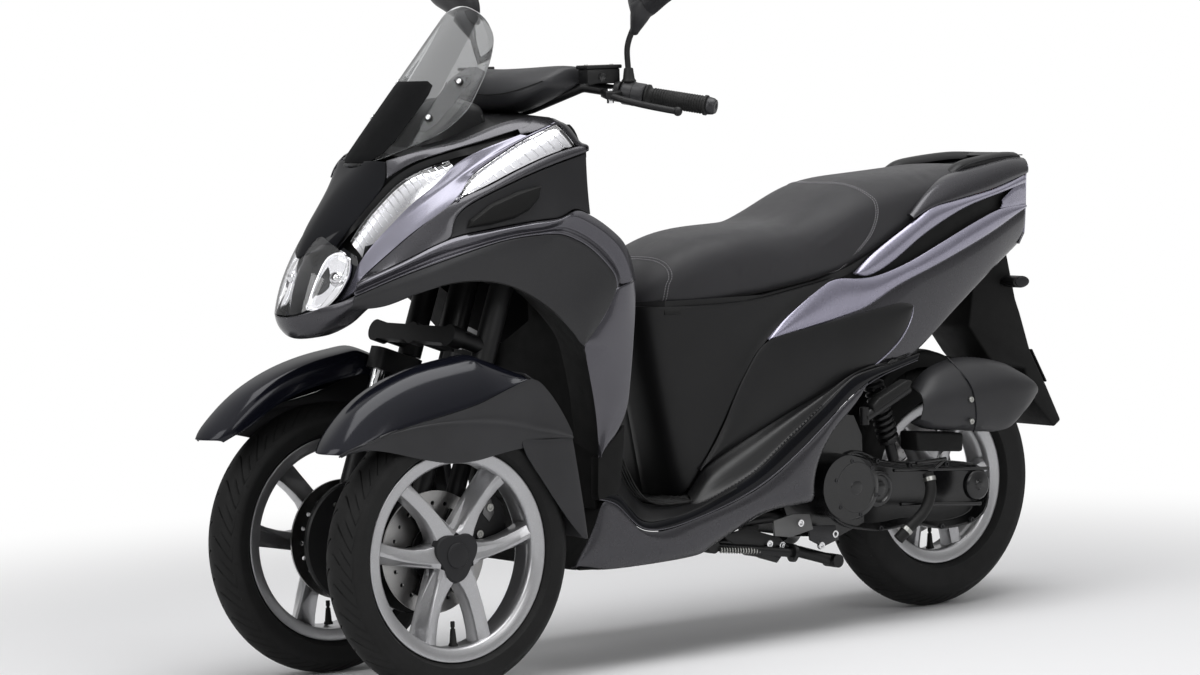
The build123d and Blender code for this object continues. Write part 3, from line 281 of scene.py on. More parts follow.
THREAD = finish("seat_thread", (0.36, 0.35, 0.37), 0.7, grain_size=3000, grain_height=0.3)
CLEAR_LENS = finish("clear_lens", (0.97, 0.97, 0.98), 0.03, mottle=0.01, see_through=1.0, ior=1.42)
SMOKE = finish("smoked_screen", (0.86, 0.87, 0.88), 0.02, mottle=0.02, see_through=1.0, ior=1.25)
RED_LENS = finish("red_lens", (0.40, 0.01, 0.012), 0.08, mottle=0.1, see_through=0.4)
BOWL = finish("lamp_bowl_chrome", (0.86, 0.86, 0.88), 0.14, metal=1.0, mottle=0.03)
MIRROR_GLASS = finish("mirror_glass", (0.85, 0.86, 0.88), 0.02, metal=1.0, mottle=0.01)
GAUGE = finish("gauge_face", (0.02, 0.03, 0.035), 0.12, mottle=0.3)
print("finishes", len(bpy.data.materials))
# %% [markdown]
# Nearly every cover on the machine is a sheet of moulded plastic that runs between a few long lines:
# a crease, a seam, the edge of an opening. So the main helper lays a grid over such lines. Drawing the
# faces one by one would give the same shape, but a grid keeps its squares even and subdivides cleanly.
# After that a wall thickness, a small rounding of the edges and smooth shading finish the piece.

# %% Helpers for every piece
MM = 0.001
SIDES = (("left", 1), ("right", -1))
FRONT, LEFT = (0.5, 1, 0.4), (0, 1, 0)                  # ways the left side's panels face
MOULDED = dict(wall=3, rounding=0.8, smoothing=2)       # a moulded sheet laid over few rows
SHEET = dict(wall=3, rounding=0.8, smoothing=1)         # the same over rows that follow the shape closely
FRONT_PAIR = dict(facing=FRONT, both_sides=True)
PAIR = dict(facing=LEFT, both_sides=True)


def even(points, count):
    """count points at equal steps along a smooth line through the given ones."""
    points = [Vector(p) for p in points]
    if len(points) == 1:
        return points * count
    dense = []
    for i in range(len(points) - 1):
        before, here = points[max(i - 1, 0)], points[i]
        then, after = points[i + 1], points[min(i + 2, len(points) - 1)]
        for k in range(10):
            t = k / 10
            dense.append(0.5 * (2 * here + (then - before) * t
                                + (2 * before - 5 * here + 4 * then - after) * t * t
                                + (3 * here - before - 3 * then + after) * t ** 3))    # Catmull-Rom
    dense.append(points[-1])
    run = [0.0]
    for a, b in zip(dense, dense[1:]):
        run.append(run[-1] + (b - a).length)
    made, k = [], 0
    for i in range(count):
        want = run[-1] * i / (count - 1)
        while k < len(run) - 2 and run[k + 1] < want:
            k += 1
        step = run[k + 1] - run[k]
        made.append(dense[k].lerp(dense[k + 1], (want - run[k]) / step if step else 0.0))
    return made


def between(first, last, rows, columns, bulge=0.0, push=(0, 1, 0)):
    """Rows of points from one line to another, swelling by bulge in the middle."""
    a, b, push = even(first, columns), even(last, columns), Vector(push)
    made = []
    for r in range(rows):
        t = r / (rows - 1)
        made.append([p.lerp(q, t) + push * bulge * 4 * t * (1 - t) for p, q in zip(a, b)])
    return made


def skin(rows, columns):
    """A grid laid over rows of points, evenly along each row."""
    return lofted([even(row, columns) for row in rows])


def lofted(rows):
    """A grid with one vertex at each given point."""
    bm = bmesh.new()
    bmesh.ops.create_grid(bm, x_segments=len(rows[0]) - 1, y_segments=len(rows) - 1, size=1)
    bm.verts.ensure_lookup_table()
    for r, row in enumerate(rows):
        for c, point in enumerate(row):
            bm.verts[r * len(rows[0]) + c].co = point
    return bm


def swept(first, last, profile):
    """Rows from one line to another; the profile gives a share of the way, and how far out and up."""
    return [[a.lerp(b, t) + Vector((0, out, up)) for a, b in zip(first, last)] for t, out, up in profile]


def ring_of(outline, count):
    """A closed outline as count points at equal steps."""
    return even(outline + outline[:1], count + 1)[:-1]


def moved(line, vector):
    """A line moved by a vector."""
    return [Vector(p) + Vector(vector) for p in line]


def flipped(line):
    """A line on the machine's other side."""
    return [Vector((p.x, -p.y, p.z)) for p in line]


def spun(profile, centre, axis, steps=64, turn=360.0, start=None):
    """A profile of (radius, along) turned about an axis through centre."""
    axis = Vector(axis).normalized()
    out = Vector(start) if start else axis.orthogonal().normalized()
    bm = bmesh.new()
    points = [bm.verts.new(Vector(centre) + out * r + axis * a) for r, a in profile]
    for a, b in zip(points, points[1:]):
        bm.edges.new((a, b))
    bmesh.ops.spin(bm, geom=bm.verts[:] + bm.edges[:], cent=centre, axis=axis, angle=math.radians(turn),
                   steps=steps, use_merge=turn == 360.0)
    bmesh.ops.remove_doubles(bm, verts=bm.verts, dist=0.01)
    return bm


def spun_across(profile, centre, steps):
    """A profile turned about a line across the machine, from straight ahead on."""
    return spun(profile, centre, (0, 1, 0), steps, start=(1, 0, 0))


def plate(outline, depth):
    """A flat shape from a closed outline, given thickness along the vector depth."""
    bm = bmesh.new()
    ring = [bm.verts.new(p) for p in outline]
    face = bm.faces.new(ring)
    pulled = bmesh.ops.extrude_face_region(bm, geom=[face])["geom"]
    bmesh.ops.translate(bm, vec=depth, verts=[g for g in pulled if isinstance(g, bmesh.types.BMVert)])
    return bm


def rod(start, end, radius, end_radius=None, sides=24):
    """A round bar, or a cone, between two points."""
    start, end = Vector(start), Vector(end)
    way = end - start
    bm = bmesh.new()
    bmesh.ops.create_cone(bm, cap_ends=True, segments=sides, radius1=radius,
                          radius2=radius if end_radius is None else end_radius, depth=way.length)
    bmesh.ops.transform(bm, verts=bm.verts, matrix=Matrix.Translation((start + end) / 2)
                        @ way.to_track_quat("Z", "Y").to_matrix().to_4x4())
    return bm


def ball(spot, radius, u, v):
    """A sphere about spot, u faces round and v faces high."""
    bm = bmesh.new()
    bmesh.ops.create_uvsphere(bm, u_segments=u, v_segments=v, radius=radius)
    bmesh.ops.translate(bm, vec=spot, verts=bm.verts)
    return bm


def tube(points, radius, sides=10, cyclic=False):
    """A round hose or wire along a smooth curve, as a bmesh."""
    data = bpy.data.curves.new("hose", "CURVE")
    data.dimensions = "3D"
    data.bevel_depth = radius
    data.bevel_resolution = max(1, sides // 2 - 2)
    data.resolution_u = 6
    data.use_fill_caps = True
    line = data.splines.new("NURBS")
    line.points.add(len(points) - 1)
    for spot, p in zip(line.points, points):
        spot.co = (*p, 1)
    line.order_u = min(4, len(points))
    line.use_endpoint_u = not cyclic
    line.use_cyclic_u = cyclic
    holder = bpy.data.objects.new("hose", data)
    mesh = bpy.data.meshes.new_from_object(holder)
    bm = bmesh.new()
    bm.from_mesh(mesh)
    bpy.data.objects.remove(holder)
    bpy.data.curves.remove(data)
    bpy.data.meshes.remove(mesh)
    return bm


def coil(start, end, radius, wire, turns):
    """A helical spring between two points."""
    start, end = Vector(start), Vector(end)
    way = (end - start).normalized()
    across = way.orthogonal().normalized()
    other = way.cross(across)
    points = []
    for i in range(turns * 8 + 1):
        a = 2 * math.pi * i / 8
        points.append(start.lerp(end, i / (turns * 8)) + radius * (math.cos(a) * across + math.sin(a) * other))
    return tube(points, wire, 8)


def fill_holes(bm, where=lambda v: True):
    """Closes the open edges whose ends lie where asked."""
    bmesh.ops.holes_fill(bm, edges=[e for e in bm.edges if e.is_boundary and all(where(v) for v in e.verts)])


def join(*parts):
    """Several bmeshes as one."""
    whole = bmesh.new()
    for part in parts:
        mesh = bpy.data.meshes.new("part")
        part.to_mesh(mesh)
        part.free()
        whole.from_mesh(mesh)
        bpy.data.meshes.remove(mesh)
    return whole


def mirror_side(bm):
    """The same shape on the machine's right side, in place of the left."""
    bmesh.ops.scale(bm, vec=(1, -1, 1), verts=bm.verts)
    bmesh.ops.reverse_faces(bm, faces=bm.faces)
    return bm


def bake(made):
    """Applies what modifiers an object has; gives back its new mesh."""
    graph = bpy.context.evaluated_depsgraph_get()
    baked = bpy.data.meshes.new_from_object(made.evaluated_get(graph))
    made.modifiers.clear()
    made.data = baked
    return baked


def piece(name, bm, look, body, slot=None, stands_for=(), wall=0.0, rounding=0.0, smoothing=0, sharp=35.0,
          facing=None, both_sides=False, segments=2, keep_corners=True):
    """Turns a bmesh into a finished object that rides on a body."""
    bmesh.ops.remove_doubles(bm, verts=bm.verts, dist=0.02)
    bmesh.ops.recalc_face_normals(bm, faces=bm.faces)
    if facing is not None:
        area = sum((f.normal * f.calc_area() for f in bm.faces), Vector())
        if area.dot(Vector(facing)) < 0:
            bmesh.ops.reverse_faces(bm, faces=bm.faces)
    if both_sides:
        copy = bmesh.ops.duplicate(bm, geom=bm.verts[:] + bm.edges[:] + bm.faces[:])["geom"]
        bmesh.ops.scale(bm, vec=(1, -1, 1), verts=[g for g in copy if isinstance(g, bmesh.types.BMVert)])
        bmesh.ops.reverse_faces(bm, faces=[g for g in copy if isinstance(g, bmesh.types.BMFace)])
    bmesh.ops.scale(bm, vec=(MM, MM, MM), verts=bm.verts)
    mesh = bpy.data.meshes.new(name)
    bm.to_mesh(mesh)
    bm.free()
    made = shown(name, mesh)
    if smoothing:
        fine = made.modifiers.new("smooth", "SUBSURF")
        fine.levels = fine.render_levels = smoothing
        fine.boundary_smooth = "PRESERVE_CORNERS" if keep_corners else "ALL"
    if wall:
        thick = made.modifiers.new("wall", "SOLIDIFY")
        thick.thickness = wall * MM
        thick.offset = -1
        thick.use_even_offset = False
    if rounding:
        edge = made.modifiers.new("edge", "BEVEL")
        edge.width = rounding * MM
        edge.segments = segments
        edge.limit_method = "ANGLE"
        edge.angle_limit = math.radians(sharp)
    if made.modifiers:
        plain, mesh = mesh, bake(made)
        mesh.name = name
        bpy.data.meshes.remove(plain)
    mesh.shade_smooth()
    mesh.set_sharp_from_angle(angle=math.radians(sharp))
    mesh.materials.clear()
    mesh.materials.append(look)
    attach(made, body)
    if stands_for:
        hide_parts(*stands_for)
    print(f"{name}: {len(mesh.polygons)} faces on {body}")
    return made


def dress(node, look):
    """Gives a CAD node that stays its finish."""
    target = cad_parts[node]
    if not target.material_slots:
        target.data.materials.append(look)
    for place in target.material_slots:
        place.material = look
# %% [markdown]
# The front is a nest of panels that all start at the nose and fan out to the sides. It could be cut from
# one solid, but the real one is moulded as separate sheets, and the light along each edge is what makes
# it readable. So the shared lines come first, and each panel is laid between two of them.

# %% Shared lines of the front, on the left side
CENTRE = [(722, 0, 941), (771, 0, 889), (824, 0, 822), (859, 0, 759), (879, 0, 714), (887, 0, 687)]
RIDGE = [(800, 112, 735), (789, 118, 741), (728, 147, 768), (646, 180, 805), (563, 202, 820), (483, 214, 829),
         (425, 220, 833)]
LIP = [(804, 112, 712), (796, 118, 716), (726, 150, 745), (640, 184, 774), (539, 209, 800), (441, 221, 806)]
ARCH = [(812, 104, 688), (757, 134, 692), (700, 161, 713), (640, 182, 727), (576, 200, 727), (519, 210, 710),
        (466, 216, 679), (422, 219, 642), (384, 216, 600)]
BAND_TOP = [(800, 106, 722), (784, 102, 742), (740, 124, 783), (696, 144, 821), (622, 170, 873)]
FLASH_LOW = [(622, 170, 873), (564, 184, 896), (506, 194, 921), (438, 200, 945), (380, 203, 960)]
FLASH_TOP = [(622, 168, 874), (581, 160, 913), (532, 167, 944), (472, 174, 975), (404, 181, 1001)]
CREASE = [(809, 66, 700), (782, 78, 752), (745, 94, 798), (700, 114, 842), (650, 132, 880), (600, 146, 915),
          (536, 158, 950), (449, 168, 984)]
LAMP_OUT = [(766, 80, 780), (744, 90, 808), (722, 100, 832), (677, 118, 876), (638, 132, 906), (606, 140, 936)]
LAMP_IN = [(776, 62, 806), (757, 68, 834), (730, 80, 867), (695, 96, 903), (657, 111, 925), (606, 129, 942)]
VENT_TOP = [(639, 176, 812), (633, 176, 835), (604, 184, 864), (503, 199, 905), (430, 204, 928), (357, 207, 947)]


def part_of(line, start, end, count=12):
    """A stretch of a line, from one share of its length to another."""
    fine = even(line, 101)
    return [fine[round(100 * (start + (end - start) * i / (count - 1)))] for i in range(count)]


# %% [markdown]
# Under the panels lies a plain dark shell, so that no gap between them shows daylight. It follows
# cross-sections down the length of the nose, each a little smaller than the outside.

# %% Inner shell of the front
CORE = [  # x, half width, lowest and highest point
        (846, 20, 672, 700), (806, 54, 680, 770), (740, 90, 706, 824), (650, 128, 735, 886), (560, 162, 738, 924),
        (470, 178, 708, 944), (400, 186, 660, 955), (366, 184, 640, 940)]
rows = [[(x, w, low), (x, w * 0.99, low + (top - low) * 0.5), (x, w * 0.84, top - 28), (x, w * 0.45, top),
         (x, 0, top + 6), (x, -w * 0.45, top), (x, -w * 0.84, top - 28), (x, -w * 0.99, low + (top - low) * 0.5),
         (x, -w, low)] for x, w, low, top in CORE]
piece("front_inner_shell", skin(rows, 25), MATTE_BLACK, "chassis", wall=2.0, facing=(0.2, 0, 1))

# %% [markdown]
# The gloss black shield runs up the middle of the nose. Its rim lifts towards the sides, which gives it
# the thin bright line beside the lamps.

# %% Nose shield and chin
SHIELD_EDGE = [(704, 75, 944), (713, 86, 912), (727, 82, 889), (751, 73, 861), (782, 64, 826), (806, 52, 792)]
nose_rows = between(part_of(CENTRE, 0.0, 0.68), SHIELD_EDGE, 7, 13, 7, (0.7, 0.2, 0.5))
full = [flipped(row) for row in nose_rows[:0:-1]] + nose_rows
piece("nose_shield", skin(full, 13), GLOSS_BLACK, "chassis", "gloss_black", ["nose_panel"], facing=(1, 0, 0.6),
      **MOULDED)

CHIN_TOP = [(884, 0, 676), (881, 26, 677), (868, 50, 684), (846, 72, 694), (822, 96, 703), (803, 111, 713)]
CHIN_LOW = [(858, 0, 634), (853, 26, 636), (842, 52, 644), (824, 78, 660), (812, 97, 679), (802, 108, 691)]
chin = between(CHIN_TOP, CHIN_LOW, 6, 12, 6, (0.8, 0.5, -0.3))
chin = [flipped(row[:0:-1]) + row for row in chin]
chin.append(moved(chin[-1], (-38, 0, 3)))               # the lip that turns back under the nose
piece("chin_panel", skin(chin, 23), GUNMETAL, "chassis", "gunmetal", facing=(1, 0, -0.2), **MOULDED)

# %% [markdown]
# Side panels of the nose: an upper band with a soft crease along it, in gunmetal painted lavender-light as a
# painted highlight, a darker band below, and the matte panel with a scoop behind. Each is a strip between two
# shared lines, swelled a little so that the light rolls over it.

# %% Cowl bands and flanks
upper = between(moved(part_of(CREASE, 0.0, 0.98), (2, 3, 0)), BAND_TOP + FLASH_TOP[1:], 5, 26, 3, (0.2, 1, 0.2))
first = even([(800, 60, 716)] + moved(LAMP_OUT, (2, 5, -4)) + [(560, 152, 956), (470, 164, 984)], 26)
piece("cowl_highlight_band", skin([first] + upper, 26), LAVENDER_HIGHLIGHT, "chassis", "gunmetal", ["front_cowl"], **MOULDED,
      **FRONT_PAIR)
band_low = part_of(RIDGE, 0.0, 0.46, 8) + VENT_TOP[1:]
band_high = BAND_TOP + FLASH_LOW[1:] + [(357, 204, 962)]
piece("cowl_dark_band", skin(between(moved(band_high, (0, 1, -1.5)), moved(band_low, (0, 1, 1.5)), 5, 26, 2.5), 26),
      GUNMETAL, "chassis", "gunmetal", **MOULDED, **FRONT_PAIR)

vent_low = part_of(RIDGE, 0.44, 1.0, 8) + [(391, 216, 847), (370, 213, 841), (352, 211, 834)]
vent_high = moved(VENT_TOP, (0, 0, -2))
piece("cowl_vent_panel", skin(between(vent_high, moved(vent_low, (0, -3, 2)), 6, 22, -2), 22), VENT_GREY, "chassis",
      "dark_plastic", ["cowl_side_panels"], **MOULDED, **FRONT_PAIR)
SCOOP = [(612, 186, 824), (606, 187, 838), (566, 193, 864), (510, 201, 884), (462, 207, 893), (470, 209, 870),
         (492, 208, 850), (520, 205, 838), (566, 198, 829)]
bm = plate(moved(SCOOP, (0, 1.2, 0)), (0, 3, 0))
lid = max((f for f in bm.faces if abs(f.normal.y) > 0.8), key=lambda f: f.calc_center_median().y)
bmesh.ops.inset_individual(bm, faces=[lid], thickness=5, depth=-7)
piece("vent_scoop", bm, MATTE_BLACK, "chassis", rounding=0.8, both_sides=True, sharp=25)

# %% [markdown]
# The ridge is the strongest line of the machine. It leaves the nose, runs back over the wheel arch, turns
# down at the corner and becomes the edge of the leg panel. One strip does it all: a crest that catches the
# top light, a valley that stays dark, and a lip where the arch panel starts.

# %% Ridge, arch panel and leg panel
RIDGE_BACK = [(391, 216, 846), (362, 212, 838), (330, 210, 822), (300, 208, 802), (278, 207, 784), (262, 206, 757),
              (250, 205, 712), (252, 205, 663), (258, 205, 610), (267, 205, 542), (278, 205, 480), (300, 205, 440),
              (322, 205, 416), (346, 205, 394)]
LIP_BACK = [(405, 221, 797), (369, 220, 780), (333, 218, 752), (305, 217, 722), (303, 217, 700), (324, 216, 664),
            (350, 216, 633), (382, 215, 599)]
ARCH_BACK = [(377, 212, 590), (368, 208, 562), (357, 206, 515), (350, 205, 473), (347, 205, 435), (347, 205, 396)]
# The ridge and the leg panel are in the lighter gunmetal, a painted highlight added to the light that the crest
# catches.
outer, inner = even(RIDGE + RIDGE_BACK[:7], 34), even(LIP + LIP_BACK[:5], 34)
RIDGE_SHAPE = [(0.0, 0, 0), (0.14, 3.5, 2), (0.27, 6, 3), (0.33, 6.8, 2.8), (0.39, 5.5, 1.6), (0.58, -2, -1),
               (0.72, -5, -1), (0.86, -1, 0), (0.94, 1.5, 0.5), (1.0, 0, 0)]   # share across, out, up
piece("arch_ridge", skin(swept(outer, inner, RIDGE_SHAPE), 34), GUNMETAL_HIGHLIGHT, "chassis", "gunmetal",
      **MOULDED, **FRONT_PAIR)
leg_out, leg_in = even(RIDGE_BACK[6:], 20), even(LIP_BACK[4:] + ARCH_BACK, 20)
LEG_SHAPE = [(t, 28 * t * (1 - t), 0) for t in (0, 0.12, 0.35, 0.6, 0.85, 1)]
piece("leg_panel", skin(swept(leg_out, leg_in, LEG_SHAPE), 20), GUNMETAL_HIGHLIGHT, "chassis", "gunmetal",
      **MOULDED, **FRONT_PAIR)
arch_rows = between(moved(LIP + LIP_BACK, (0, 0.5, -1.5)), ARCH, 7, 36, 4)
piece("arch_panel", skin(arch_rows, 36), DARK_METAL, "chassis", "gunmetal", ["arch_panels"], **MOULDED, **FRONT_PAIR)
edge_line = moved(ARCH + ARCH_BACK, (0, 0, 0))
roof = [edge_line, moved(edge_line, (0, -14, 3))]       # from the arch's edge in and over the wheel
for back, furthest, inward, lift in ((4, 150, 30, 14), (8, 118, 62, 22)):
    roof.append([Vector((p.x - back, min(furthest, p.y - inward), p.z + lift)) for p in edge_line])
piece("arch_roof", skin(roof, 34), MATTE_BLACK, "chassis", wall=2.0, smoothing=1, facing=(0.6, 0, -1),
      both_sides=True)
LOW_PANEL = [(346, 203, 392), (349, 203, 330), (347, 203, 316), (306, 203, 318), (296, 203, 340), (288, 203, 400),
             (283, 203, 448), (300, 203, 434)]
piece("leg_panel_low", plate(LOW_PANEL, (0, -22, 0)), MATTE_BLACK, "chassis", "dark_plastic", rounding=1.5,
      both_sides=True)
dress("leg_shield", MATTE_BLACK)

# %% [markdown]
# Two plain linings stand inside the bands and behind the flashers, where a look between the panels would
# otherwise meet the light ground behind the machine.

# %% Linings behind the panels
INSIDE_TOP = [(700, 60, 930), (640, 96, 950), (560, 120, 968), (480, 136, 990), (400, 142, 996), (352, 150, 985)]
INSIDE_LOW = [(780, 80, 730), (730, 100, 770), (680, 120, 805), (610, 146, 835), (550, 164, 840), (480, 182, 845),
              (400, 194, 842), (352, 203, 834)]
END_PLATE = [(400, 200, 936), (400, 200, 958), (351, 200, 957), (351, 200, 938)]
piece("end_lining", plate(END_PLATE, (0, -2, 0)), MATTE_BLACK, "chassis", both_sides=True)
piece("front_lining", skin(between(INSIDE_TOP, INSIDE_LOW, 7, 26, 2, (0, 1, 0.4)), 26), MATTE_BLACK, "chassis",
      wall=2, **FRONT_PAIR)

# %% [markdown]
# Lamps. A lamp reads as real when there is depth behind the lens: a bright bowl, a dark bezel and a clear
# cover a few millimetres in front. The cover's thickness is a Solidify wall, because a lens with two
# surfaces bends light as the real one does.

# %% Headlamp, light strips and flashers
LENS_TOP = [(818, 0, 826), (816, 30, 818), (806, 54, 800), (792, 70, 786)]
LENS_LOW = [(884, 0, 680), (881, 26, 681), (868, 49, 688), (848, 70, 697)]
LENS_SIDE = [(792, 70, 786), (800, 84, 768), (820, 84, 735), (848, 70, 697)]
lens = between(LENS_TOP, LENS_LOW, 9, 8, 8, (0.9, 0.2, 0.3))
for i, row in enumerate(lens):
    row[-1] = even(LENS_SIDE, 9)[i]
lens = [flipped(row[:0:-1]) + row for row in lens]
piece("headlamp_lens", skin(lens, 15), CLEAR_LENS, "chassis", "clear_lens", ["front_lamps"], wall=2.5, smoothing=2,
      facing=(1, 0, 0.3))
mask = [moved(row, (-24, 0, -7)) for row in lens]
piece("headlamp_mask", skin(mask, 15), GLOSS_BLACK, "chassis", wall=2.0, smoothing=2, facing=(1, 0, 0.3))
BOWL_VIEW = [(792, 84, 776), (800, 62, 788), (818, 46, 778), (836, 38, 742), (852, 36, 706), (862, 42, 690),
             (846, 70, 690), (824, 86, 712), (804, 92, 745)]
bm = plate(moved(ring_of(BOWL_VIEW, 36), (-2, -2, 0)), (-5, -3, 0))
bmesh.ops.recalc_face_normals(bm, faces=bm.faces)
front_face = max((f for f in bm.faces if len(f.verts) > 4), key=lambda f: f.calc_center_median().x)
for thickness, depth in ((3, 0), (8, -10), (7, -8)):     # rim, wall and floor of the bowl
    bmesh.ops.inset_individual(bm, faces=[front_face], thickness=thickness, depth=depth)
piece("headlamp_bowl", bm, BOWL, "chassis", rounding=1.0, both_sides=True, sharp=20)
piece("headlamp_bulb_shield", ball((812, 68, 742), 13, 24, 14), CHROME, "chassis", both_sides=True)

strip = between(moved(LAMP_IN, (0, 1, 0)), moved(LAMP_OUT, (0, 1, 0)), 5, 22, 3, (0.5, 0.7, 0.5))
piece("light_strip_lens", skin(strip, 22), CLEAR_LENS, "chassis", "clear_lens", wall=2.2, smoothing=2, **FRONT_PAIR)
back = [moved(row, (-7, -6, -5)) for row in strip]
piece("light_strip_bowl", skin(back, 22), BOWL, "chassis", wall=1.5, smoothing=1, **FRONT_PAIR)
flash = between(moved(FLASH_TOP, (0, 1.5, -1.5)), moved(FLASH_LOW, (0, 1.5, 1.5)), 5, 18, 4)
piece("flasher_lens", skin(flash, 18), CLEAR_LENS, "chassis", "clear_lens", ["turn_signals"], wall=2.2,
      smoothing=2, **FRONT_PAIR)
back = [moved(row, (-2, -9, -2)) for row in flash]
piece("flasher_bowl", skin(back, 18), BOWL, "chassis", wall=1.5, smoothing=1, **FRONT_PAIR)
FLUTE_BACK = (-2, -6, -2)       # from the lens to the flutes behind it
flutes = []
for row_low, row_high, count in ((flash[-1], flash[0], 15), (strip[-1], strip[0], 19)):
    low, high = (moved(even(row, count), FLUTE_BACK) for row in (row_low, row_high))
    flutes += [rod(a.lerp(b, 0.12), a.lerp(b, 0.88), 1.3, sides=8) for a, b in list(zip(low, high))[1:-1]]
piece("lamp_flutes", join(*flutes), BOWL, "chassis", both_sides=True)

# %% [markdown]
# Over the lamps a grey panel runs up to the screen, with a black groove below it. The groove could be
# left to the dark shell behind, but a strip of satin black keeps it even. At the rear a cap closes each
# side, a small corner joins the cap to the top panel, and a bridge spans the two sides under the screen.

# %% Upper cowl panel and groove
TOP_LOW = [(713, 90, 915), (700, 98, 925), (664, 112, 944), (610, 132, 960), (540, 146, 976), (460, 158, 996),
           (449, 160, 998)]
TOP_HIGH = [(702, 74, 946), (677, 94, 955), (639, 108, 965), (565, 120, 982), (484, 132, 1007), (430, 140, 1014),
            (390, 146, 1012)]
piece("cowl_top_panel", skin(between(TOP_HIGH, TOP_LOW, 5, 22, 3, (0.2, 0.6, 0.8)), 22), GUNMETAL, "chassis",
      "gunmetal", facing=(0.2, 0.7, 0.7), both_sides=True, **MOULDED)
GROOVE_LOW = [(806, 54, 790), (782, 66, 820), (757, 66, 836), (730, 78, 869), (695, 95, 905), (657, 110, 928),
              (606, 130, 946), (540, 150, 960), (454, 163, 983)]
GROOVE_HIGH = [(804, 50, 796), (780, 62, 828), (751, 71, 860), (727, 80, 888), (704, 92, 915), (664, 110, 940),
               (610, 130, 957), (540, 144, 972), (456, 157, 988)]
groove = between(*(moved(line, (-4, -5, -2)) for line in (GROOVE_HIGH, GROOVE_LOW)), 3, 24)
piece("cowl_groove", skin(groove, 24),
      SATIN_BLACK, "chassis", wall=2, smoothing=1, **FRONT_PAIR)
CAP = [(399, 150, 1012), (404, 168, 1006), (398, 186, 1001), (376, 204, 962), (352, 206, 962), (352, 206, 950)]
CAP_IN = [(372, 146, 1004), (370, 160, 1000), (366, 176, 990), (358, 192, 966), (350, 198, 960), (349, 198, 948)]
piece("cowl_end_cap", skin(between(CAP, CAP_IN, 4, 14, 4, (-1, 0.2, 0.4)), 14), GUNMETAL, "chassis",
      facing=(-0.5, 0.5, 0.5), both_sides=True, **MOULDED)
corner = between([(470, 156, 994), (449, 160, 998), (428, 150, 1011), (399, 148, 1013)],
                 [(470, 164, 985), (449, 169, 988), (425, 177, 997), (399, 186, 1002)], 4, 10, 1)
piece("cowl_top_corner", skin(corner, 10), GUNMETAL, "chassis", wall=2, smoothing=1, **FRONT_PAIR)
top_rows = [[(p.x, p.y * k, p.z + 10 * (1 - abs(k))) for k in (1, 0.6, 0.2, -0.2, -0.6, -1)]
            for p in even(TOP_HIGH, 14)[1:]]
piece("cowl_bridge", skin(top_rows, 12), SATIN_BLACK, "chassis", wall=3.0, smoothing=1, facing=(0, 0, 1))
# %% [markdown]
# Tyres. A bump map could draw the tread, but the grooves show on the outline of a tyre, so they have to
# be real. The cross-section is spun with many steps, and the points that fall in a groove sink. Long
# grooves sweep from the middle to the shoulder, with a short cut between each pair.

# %% Tyres
FRONT_X, REAR_X = 677.5, -632.5
WHEELS = {f"front_{side}": dict(hub=(FRONT_X, sign * 192.5, 250.0), radius=250.0, width=92.0, seat=177.0,
                                rim=66.0, side=sign, body=f"front_wheel_{side}", tyre=f"front_tyre_{side}",
                                rim_node=f"front_rim_{side}") for side, sign in SIDES}
WHEELS["rear"] = dict(hub=(REAR_X, 0.0, 251.5), radius=251.5, width=112.0, seat=152.0, rim=78.0, side=1,
                      body="rear_wheel", tyre="rear_tyre", rim_node="rear_rim")
TREAD_STEPS = 420
GROOVES, GROOVE_DEPTH, CUT_DEPTH = 30, 5.0, 3.5
GROOVE_SPAN, CUT_SPAN = (0.08, 0.93), (0.5, 0.86)       # shares of the way from the middle to the tread's edge
SWEEP, SWEEP_FROM = 1.25, 0.1                           # how many pitches a groove leans back, and from where


def crown(edge, radius, sag, count=27):
    """Across the tread: points that fall away from the crown by sag at the edges."""
    line = [edge * (2 * i / (count - 1) - 1) for i in range(count)]
    return [(radius - sag * abs(y / edge) ** 2.1, y) for y in line]


def make_tyre(name, w):
    """A tyre: its section spun about the hub, with the grooves sunk into the tread."""
    half, bead = w["width"] / 2, w["seat"]
    edge, shoulder = w["width"] * 0.43, w["width"] * 0.23
    side = [(bead + 0.5, w["rim"] / 2 - 6), (bead + 12, w["rim"] / 2 - 5), (bead + 16, w["rim"] / 2 + 1),
            (bead + 19, half - 6), (bead + 21, half - 3.6), (bead + 24, half - 3.8),
            ((bead + w["radius"]) / 2 + 2, half), (w["radius"] - shoulder - 6, half - 1.2)]
    profile = [(r, -a) for r, a in side] + crown(edge, w["radius"], shoulder) + side[::-1]
    bm = spun(profile, w["hub"], (0, 1, 0), TREAD_STEPS, start=(0, 0, -1))
    hub, pitch, step = Vector(w["hub"]), 2 * math.pi / GROOVES, 2 * math.pi / TREAD_STEPS
    per = TREAD_STEPS // GROOVES
    for v in bm.verts:
        out = v.co - hub
        reach, size = abs(out.y) / edge, Vector((out.x, 0, out.z)).length
        if size < w["radius"] - shoulder - 3 or reach > 0.97:
            continue
        column = round(math.atan2(out.z, out.x) / step)
        k = (column + (per // 2 if out.y > 0 else 0)) % per
        # the columns beside a groove stand closer to it, so that its walls are steep
        pull = {1: -0.25, 2: -0.2, per - 1: 0.25, per - 2: 0.2}.get(k, 0.0) * (reach > SWEEP_FROM)
        angle = step * (column + pull) - SWEEP * pitch * max(0.0, reach - SWEEP_FROM) ** 1.4
        if k == 0 and GROOVE_SPAN[0] < reach < GROOVE_SPAN[1]:
            size -= GROOVE_DEPTH
        if k == per // 2 and CUT_SPAN[0] < reach < CUT_SPAN[1]:
            size -= CUT_DEPTH
        v.co = hub + Vector((size * math.cos(angle), out.y, size * math.sin(angle)))
    piece(name, bm, TYRE_RUBBER, w["body"], "tyre", [w["tyre"]], sharp=50)


for name, w in WHEELS.items():
    make_tyre("tyre_" + name, w)

